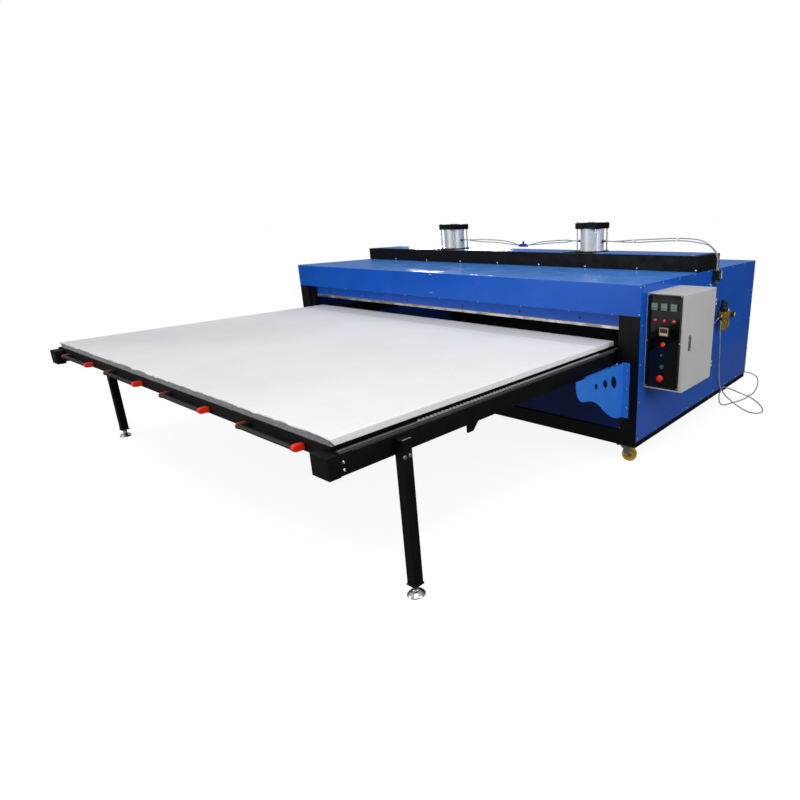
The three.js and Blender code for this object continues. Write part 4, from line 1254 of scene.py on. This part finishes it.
def door_fittings():
    """Two hinges at the rear edge, the latch's cup on the door and its swinging lever."""
    (x0, x1), (y0, y1), (z0, z1) = span("enclosure_door")
    hinges = Piece("door_hinges", "frame", "zinc")
    for z in (z0 + 70, z1 - 110):
        for k, look in enumerate((GREY, STEEL, GREY)):
            barrel = eased(disc(3.2, 0, 13), 0.5)
            hinges.turned(barrel, (x1 + 2.2, y1 + 3.3, z + k * 13.4), UP, look, 20)
        hinges.box((x0 - 26, x0 - 1), (y1, y1 + 1.6), (z, z + 40), ZINC, 0.5)
        for dz in (9, 31):
            screw(hinges, (x0 - 14, y1 + 1.6, z + dz), BACK, 3)
    hinges.done()
    (lx0, lx1), (ly0, ly1), (lz0, lz1) = span("door_latch")
    cup = Piece("latch_cup", "door", "zinc")
    cup.prism(rounded((ly0 - 3, ly1 + 3), (lz0 - 4, lz1 + 4), 8, 5), "x", (x1 - 0.3, x1 + 0.9), ZINC, 0.3)
    cup.done()
    lever = Piece("latch_lever", "latch", "zinc")
    outline = eased([(ly0 + 2, lz0 + 3), (ly1 - 2, lz0), (ly1, lz1), (ly0, lz1)], 6, 5, True)
    lever.prism(outline, "x", (lx0, lx1), LATCH_GREY, 1.4)
    inset = rounded((ly0 + 5, ly1 - 5), (lz0 + 10, lz1 - 26), 5, 4)
    lever.prism(inset, "x", (lx1 - 0.4, lx1 + 0.4), PLASTIC, 0.2)
    lever.turned(
        eased([(0, 0), (6.5, 0), (6.5, 1), (2.4, 1.3), (0, 1)], 0.4), (lx1 - 0.3, (ly0 + ly1) / 2, lz1 - 13),
        RIGHT, STEEL, 28,
    )
    lever.done("door_latch")


def electrical_panel():
    """The mounting plate with contactors, relays, a power block, ducts, terminals and wires."""
    face = 1794.6
    piece = Piece("electrical_parts", "frame", "zinc")
    piece.box((1791.6, face), (110, 500), (560, 1060), ZINC, 1)
    for z in (737, 937):
        piece.box((face - 0.5, face + 6), (125, 335), (z - 17, z + 17), STEEL, 1)
    for y in (150, 210, 270):
        piece.box((face + 5, face + 62), (y, y + 45), (900, 975), CREAM, 2)
        piece.box((face + 60, face + 80), (y + 6, y + 39), (912, 963), PLASTIC, 2)
        for k in range(3):
            for z in (905, 970):
                screw(piece, (face + 62, y + 10 + k * 12.5, z), RIGHT, 3, BRASS)
        piece.box((face + 5, face + 50), (y, y + 45), (700, 775), PLASTIC, 2)
        piece.box((face + 48, face + 62), (y + 5, y + 40), (712, 764), LCD, 1.5)
        for k in range(4):
            for z in (705, 770):
                screw(piece, (face + 50, y + 7 + k * 10.4, z), RIGHT, 2.6, BRASS)
    piece.box((face - 0.5, face + 22), (360, 440), (880, 1000), STEEL, 1)
    for k in range(11):
        piece.box((face + 20, face + 52), (363 + k * 7.2, 365.4 + k * 7.2), (880, 1000), STEEL, 0.5, 1)
    piece.box((face + 50, face + 70), (372, 428), (905, 975), PLASTIC, 2)
    piece.box((face - 0.5, face + 8), (140, 470), (605, 640), STEEL, 1)
    for k in range(24):
        y = 142 + k * 13.6
        piece.box((face + 6, face + 38), (y, y + 12.4), (600, 645), CREAM if k % 6 else GREEN, 1.2)
        for z in (608, 637):
            screw(piece, (face + 38, y + 6.2, z), RIGHT, 3.2, BRASS)
    for y in (120, 345, 455):
        for k in range(14):
            z = 660 + k * 27
            for dy in (0, 12):
                piece.box((face, face + 40), (y + dy, y + dy + 3), (z, z + 18), GREY, 0.5, 1)
    piece.done("electrical_panel")
    wires = Piece("electrical_wires", "frame", "black_plastic")
    looks = list(WIRES.values())
    for k in range(22):
        y = 148 + k * 13.6
        target = 160 + (k * 37) % 150
        z_end = (900, 700)[k % 2]
        middle = (650 + (k % 5) * 8, 690 - (k % 4) * 6)
        points = [
            (face + 36, y, 645), (face + 44, y, 660), (face + 46, (y + target) / 2, middle[0]),
            (face + 50, target, middle[1] if z_end == 700 else 860), (face + 50, target, z_end - 2),
        ]
        wires.sweep(smooth_route(points, 12), 1.7, looks[k % 4], 8)
    wires.done()


door_fittings()
electrical_panel()


# ---- air preparation unit and valve -------------------------------------------------------
UNIT_X = 1834
BOWL_Y = (1270, 1338)


def knurl(index, angle):
    """Shallow grooves along the knob, above its base."""
    return 1 if math.sin(angle * 24) > 0 or index < 3 else 0.965


def air_unit():
    """Filter regulator and lubricator with guarded bowls, wall bracket, elbow and outlet."""
    x = UNIT_X
    piece = Piece("air_unit_body", "frame", "brass")
    for y, width in ((BOWL_Y[0], 33), (BOWL_Y[1], 31)):
        outline = rounded((x - 27, x + 27), (y - width, y + width), 12, 5)
        piece.prism(outline, "z", (782, 828), OLIVE, 2)
        collar = eased(disc(27.5, 774, 784), 1)
        piece.turned(collar, (x, y, 0), UP, PLASTIC, 40)
    piece.box((x - 20, x + 20), (1296, 1310), (786, 824), PLASTIC, 3)
    for y, bottom in ((BOWL_Y[0], 684), (BOWL_Y[1], 692)):
        bowl = eased(
            [(0, bottom), (14, bottom), (22, bottom + 8), (24.5, bottom + 22), (24.5, 775), (0, 775)], 4, 4,
        )
        piece.turned(bowl, (x, y, 0), UP, OLIVE, 48)
        for k in range(4):
            angle = math.pi / 4 + k * math.pi / 2
            start = (x + 24.6 * math.cos(angle), y + 24.6 * math.sin(angle))
            # painted shade: dark strips stand for the slots in the bowl guard
            window = [(*start, bottom + 26 + t * 6) for t in range(9)]
            piece.sweep(window, lambda t: 2.2 if 0.05 < t < 0.95 else 1.2, HOLE_SHADE, 10)
        drain = [(0, bottom - 14), (5, bottom - 14), (6, bottom - 12), (6, bottom + 2), (0, bottom + 2)]
        piece.turned(eased(drain, 1), (x, y, 0), UP, BRASS, 20)
    bonnet = eased([
        (0, 826), (25, 826), (25, 836), (31, 839), (31, 858), (28, 864), (22, 868), (0, 868),
    ], 1.5)
    piece.turned(bonnet, (x, BOWL_Y[0], 0), UP, PLASTIC, 48)
    sight = eased([(0, 826), (18, 826), (18, 836), (12, 840), (12, 846), (0, 846)], 1.5)
    piece.turned(sight, (x, BOWL_Y[1], 0), UP, CREAM, 32)
    wall = BODY_HALF
    piece.box((wall + 0.3, wall + 4), (1270, 1334), (774, 850), ZINC, 1)
    piece.box((wall + 3, x - 20), (1280, 1324), (784, 822), ZINC, 2)
    for dy, dz in ((-24, 68), (24, 68), (-24, 6), (24, 6)):
        screw(piece, (wall + 4, 1302 + dy, 774 + dz), RIGHT, 4)
    elbow = [(x, 1240, 803), (x, 1232, 803), (x, 1227, 801), (x, 1226, 796), (x, 1226, 786)]
    piece.sweep(smooth_route(elbow, 2), 9.5, BRASS, 20)
    piece.turned(eased(disc(11.5, 0, 8), 1), (x, 1234, 803), BACK, BRASS, 24, hexagon(0))
    nut = eased([(5.2, 770), (9, 770), (9, 786), (5.2, 786)], 1, 3, True)
    piece.turned(nut, (x, 1226, 0), UP, PLASTIC, 28)
    port = eased([(4.2, 1220), (8, 1220), (8, 1240), (4.2, 1240)], 1, 3, True)
    piece.turned(port, (x - 14, 0, 790), BACK, PLASTIC, 24)
    piece.done("air_unit")
    knob = Piece("regulator_knob_cap", "regulator_knob", "black_plastic")
    low, high = span("regulator_knob")[2]
    profile = eased([
        (0, low), (23.5, low), (24.6, low + 4), (24, low + 14), (23, high - 8), (20.5, high - 1), (17, high),
        (0, high - 1),
    ], 1.5, 3)
    knob.turned(profile, (x, BOWL_Y[0], 0), UP, PLASTIC, 96, knurl)
    knob.done("regulator_knob")


def gauge():
    """A pressure gauge that faces out from the wall: case, white dial, marks and needle."""
    x, y, z = 1874, BOWL_Y[1], 805
    piece = Piece("gauge_body", "frame", "black_plastic")
    case = [(0, 0), (19, 0), (21, 2), (21, 20), (19.5, 22), (17.5, 22), (17.5, 19.5), (0, 19.5)]
    piece.turned(eased(case, 0.8), (x, y, z), RIGHT, PLASTIC, 48)
    piece.turned(disc(17.6, 19, 19.9), (x, y, z), RIGHT, WHITE_MARK, 40)
    piece.turned(disc(6.5, 0, 13), (x - 12.5, y, z), RIGHT, BRASS, 24, hexagon(0))
    for k in range(11):
        angle = math.radians(225 - 27 * k)
        inner, outer = (11.5 if k % 5 == 0 else 13), 15.5
        ends = [
            (x + 20.1, y + r * math.cos(angle), z + r * math.sin(angle))
            for r in (inner, (inner + outer) / 2, outer)
        ]
        piece.sweep(ends, 0.45, PLASTIC, 6)
    needle = [(x + 20.4, y + r * math.cos(2.2), z + r * math.sin(2.2)) for r in (-4, 4, 12)]
    piece.sweep(needle, lambda t: 0.9 - 0.6 * t, RED, 8)
    piece.turned(eased([(0, 19.5), (2, 19.5), (2, 21), (0, 21.2)], 0.4), (x, y, z), RIGHT, PLASTIC, 16)
    piece.done("pressure_gauge")


def valve():
    """Solenoid valve: black body, cream coil with its plug, and brass push-in fittings above and below."""
    wall = BODY_HALF + 0.3
    piece = Piece("valve_body", "frame", "black_plastic")
    y0, y1, y2 = VALVE_Y - 26, VALVE_Y + 26, VALVE_Y + 68
    body = rounded((y0, y1), (1072, 1142), 4)
    piece.prism(body, "x", (wall, wall + 48), PLASTIC, 1.5)
    coil = eased([(y1 - 1, 1078), (y2, 1076), (y2, 1138), (y1 - 1, 1136)], 5, 4, True)
    piece.prism(coil, "x", (wall + 2, wall + 38), CREAM, 2)
    piece.box((wall + 36, wall + 40), (y1 + 6, y2 - 6), (1088, 1126), WHITE_MARK, 1.2)
    piece.box((wall + 4, wall + 34), (y0 + 12, y1 - 12), (1141, 1144), PLASTIC, 1)
    piece.box((wall + 46, wall + 48.2), (y0 + 8, y1 - 8), (1086, 1126), ZINC, 1)
    for z in (1091, 1121):
        screw(piece, (wall + 48, VALVE_Y, z), RIGHT, 3.5)
    lower = eased([(0, 0), (8, 0), (8, 10), (6.6, 11), (6.6, 20), (4, 22), (0, 22)], 0.8)
    upper = eased([
        (0, 1140), (8, 1140), (8, 1147), (7.4, 1148), (7.5, 1156), (6.8, 1158), (4.2, 1158), (4.1, 1150),
        (0, 1150),
    ], 0.6)
    for y in (VALVE_Y - 10, VALVE_Y + 10):
        piece.turned(
            lower, (wall + 24, y, 1074), DOWN, BRASS, 28, lambda i, a: hexagon(0)(i, a) if i < 6 else 1,
        )
        piece.turned(upper, (wall + 24, y, 0), UP, BRASS, 28)
    piece.done("solenoid_valve")


def outlet():
    """The short tube from the regulator into the panel, two grommets, a cable hook and the valve's lead."""
    route = [
        (1820, 1219.5, 790), (1820, 1204, 788), (1816, 1192, 776), (1806, 1190, 760), (1799, 1192, 752),
        (1789.3, 1192, 752),
    ]
    tube = cord_piece("outlet_air_tube", smooth_route(route, 4), TUBE_DIAMETER)
    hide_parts("outlet_tube")
    piece = Piece("panel_grommets", "frame", "black_plastic")
    ring = eased([(4.4, 0), (10, 0), (10, 1.5), (8, 3), (5.5, 3)], 0.8)
    piece.turned(ring, (BODY_HALF, 1192, 752), RIGHT, PLASTIC, 28)
    piece.turned(ring, (BODY_HALF, 1086, 1032), RIGHT, PLASTIC, 28)
    # painted shade: a dark disc stands for the open middle of the grommet
    piece.turned(disc(5, 0, 1), (BODY_HALF, 1086, 1032), RIGHT, HOLE_SHADE, 20)
    hook = [
        (BODY_HALF + 1, 1052, 1050), (BODY_HALF + 9, 1055, 1048), (BODY_HALF + 10, 1060, 1036),
        (BODY_HALF + 1, 1064, 1026),
    ]
    piece.sweep(smooth_route(hook, 2), 2.4, WHITE_MARK, 12)
    piece.done()
    lead = Piece("valve_lead", "frame", "black_plastic")
    route = [
        (BODY_HALF + 20, 1166, 1077), (BODY_HALF + 20, 1164, 1060), (BODY_HALF + 16, 1140, 1042),
        (BODY_HALF + 8, 1100, 1032), (BODY_HALF + 1, 1086, 1032),
    ]
    lead.sweep(smooth_route(route, 4), 3, PLASTIC, 12)
    lead.done()


air_unit()
gauge()
valve()
outlet()


# ---- casters ------------------------------------------------------------------------------
CASTERS = {
    "front_left": (-1672, 72), "front_right": (1672, 72), "rear_left": (-1600, 1950),
    "rear_right": (1600, 1950),
}
TRAIL, TRAIL_ANGLE, WHEEL_RADIUS = 34, math.radians(25), 48


def caster(corner, x, y):
    """A zinc fork on its bolted plate, and a moulded wheel with a hub and bearing."""
    dress(f"caster_fork_{corner}", ZINC, 0.8)
    along = Vector((math.copysign(math.cos(TRAIL_ANGLE), x), math.sin(TRAIL_ANGLE), 0))
    axle = Vector((-along.y, along.x, 0))
    centre = Vector((x, y, WHEEL_RADIUS)) + along * TRAIL
    wheel = Piece(f"caster_tyre_{corner}", f"wheel_{corner}", "amber_wheel")
    tyre = eased([
        (34, -14), (WHEEL_RADIUS - 5, -16), (WHEEL_RADIUS, -11), (WHEEL_RADIUS, 11), (WHEEL_RADIUS - 5, 16),
        (34, 14),
    ], 3, 4)
    wheel.turned(tyre, centre, axle, AMBER, 64)
    hub = eased(
        [(15, -15), (20, -13), (33, -11), (36, -14.5), (36, 14.5), (33, 11), (20, 13), (15, 15)], 1.2,
    )
    wheel.turned(hub, centre, axle, AMBER, 48)
    sleeve = eased([(5.4, -18), (14, -18), (16, -16), (16, 16), (14, 18), (5.4, 18)], 0.8)
    wheel.turned(sleeve, centre, axle, ZINC, 36)
    for k in range(6):
        angle = k * math.tau / 6
        spoke = axle.cross(along) * math.cos(angle) + along * math.sin(angle)
        for sign in SIDES.values():
            inner, outer = centre + spoke * 17 + axle * sign * 12.4, centre + spoke * 33 + axle * sign * 12
            wheel.sweep([inner, (inner + outer) / 2, outer], 2.4, AMBER, 8)
    wheel.done(f"caster_wheel_{corner}")
    nuts = Piece(f"caster_bolts_{corner}", f"swivel_{corner}", "zinc")
    for sign in SIDES.values():
        nut = [(0, 24), (9, 24), (9, 30), (8, 31), (0, 31)]
        nuts.turned(nut, centre, axle * sign, ZINC, 24, hexagon(0))
    for dx, dy in ((-38, -30), (-38, 30), (38, -30), (38, 30)):
        place = Vector((x, y, 121)) + along * dx + axle * dy
        nuts.turned([(0, 0), (7, 0), (7, 5), (6, 6), (0, 6)], place, DOWN, STEEL, 24, hexagon(0))
    race = eased([(18, 108), (27, 108), (29, 112), (29, 118), (26, 121), (18, 121)], 1.5)
    nuts.turned(race, (x, y, 0), UP, ZINC, 40)
    nuts.done()


for corner, place in CASTERS.items():
    caster(corner, *place)


# ---- floor and light ----------------------------------------------------------------------
def floor():
    """A large plain pale floor that glows a little, so that shadows on it stay light."""
    part = bmesh.new()
    bmesh.ops.create_grid(part, x_segments=1, y_segments=1, size=200)
    mesh = bpy.data.meshes.new("floor")
    part.to_mesh(mesh)
    part.free()
    look = Look("pale_floor", (120, 120, 121), 0.9, emission_strength=0.9)
    look.shader.inputs["Emission Color"].default_value = (1, 1, 1, 1)
    look.shader.inputs["Specular IOR Level"].default_value = 0
    look.tint(look.ramp(look.field(0.6, 3), 0.4, 0.7), (116, 116, 117), 0.5)
    mesh.materials.append(look.material)
    ground = bpy.data.objects.new("floor", mesh)
    ground.location.z = -0.0005
    ground.visible_diffuse = ground.visible_glossy = ground.visible_shadow = False
    scene.collection.objects.link(ground)


def soft_light(name, place, target, size, power, shape_y=None):
    """A rectangular soft box, in metres, that the camera doesn't see."""
    data = bpy.data.lights.new(name, "AREA")
    data.shape = "RECTANGLE"
    data.size, data.size_y = size, shape_y or size
    data.energy = power
    light = bpy.data.objects.new(name, data)
    light.location = place
    light.rotation_mode = "QUATERNION"
    light.rotation_quaternion = (Vector(target) - Vector(place)).to_track_quat("-Z", "Y")
    light.visible_camera = False
    scene.collection.objects.link(light)


SKY_BANDS = (
    (-1.0, 0.16), (-0.4, 0.14), (-0.1, 0.08), (0.0, 0.14), (0.3, 0.34), (0.6, 0.52), (1.0, 0.58),
)
SKY_FRONT = 0.35


def sky():
    """White to the camera. As light and in reflections it is bright above, dim at the horizon and paler
    towards the front than towards the back."""
    world = bpy.data.worlds.new("studio")
    world.use_nodes = True
    nodes, links = world.node_tree.nodes, world.node_tree.links
    background = nodes["Background"]
    background.inputs["Color"].default_value = (1, 1, 1, 1)
    split = nodes.new("ShaderNodeSeparateXYZ")
    links.new(nodes.new("ShaderNodeTexCoord").outputs["Generated"], split.inputs["Vector"])
    bands = nodes.new("ShaderNodeValToRGB")
    height = nodes.new("ShaderNodeMapRange")
    height.inputs["From Min"].default_value = -1
    links.new(split.outputs["Z"], height.inputs["Value"])
    links.new(height.outputs["Result"], bands.inputs["Fac"])
    stops = bands.color_ramp.elements
    while len(stops) < len(SKY_BANDS):
        stops.new(0.5)
    top = max(value for _, value in SKY_BANDS)
    for stop, (place, value) in zip(stops, SKY_BANDS):
        stop.position = (place + 1) / 2
        stop.color = (value / top, value / top, value / top, 1)
    front = nodes.new("ShaderNodeMapRange")
    limits = {
        "From Min": 1, "From Max": -1, "To Min": top * (1 - SKY_FRONT), "To Max": top * (1 + SKY_FRONT),
    }
    for socket, value in limits.items():
        front.inputs[socket].default_value = value
    links.new(split.outputs["Y"], front.inputs["Value"])
    lit = nodes.new("ShaderNodeMath")
    lit.operation = "MULTIPLY"
    links.new(bands.outputs["Color"], lit.inputs[0])
    links.new(front.outputs["Result"], lit.inputs[1])
    strength = nodes.new("ShaderNodeMapRange")
    strength.inputs["To Max"].default_value = 1.0
    links.new(nodes.new("ShaderNodeLightPath").outputs["Is Camera Ray"], strength.inputs["Value"])
    links.new(lit.outputs["Value"], strength.inputs["To Min"])
    links.new(strength.outputs["Result"], background.inputs["Strength"])
    scene.world = world


floor()
sky()
soft_light("key", (3.2, -3.4, 4.4), (0.4, -1.2, 0.8), 2.6, 100)
soft_light("front", (-3.0, -7.5, 2.2), (-0.4, 0, 1.0), 3.5, 150)
soft_light("right", (7.0, -0.2, 2.6), (1.8, 0.0, 0.8), 3.0, 135)
soft_light("overhead", (-0.6, 2.6, 6.5), (0, 0.4, 0.8), 3.0, 45)
soft_light("rear_left", (-6.4, 6.8, 1.9), (0, 0.4, 1.15), 2.2, 110, 0.5)
scene.view_settings.view_transform = "Standard"
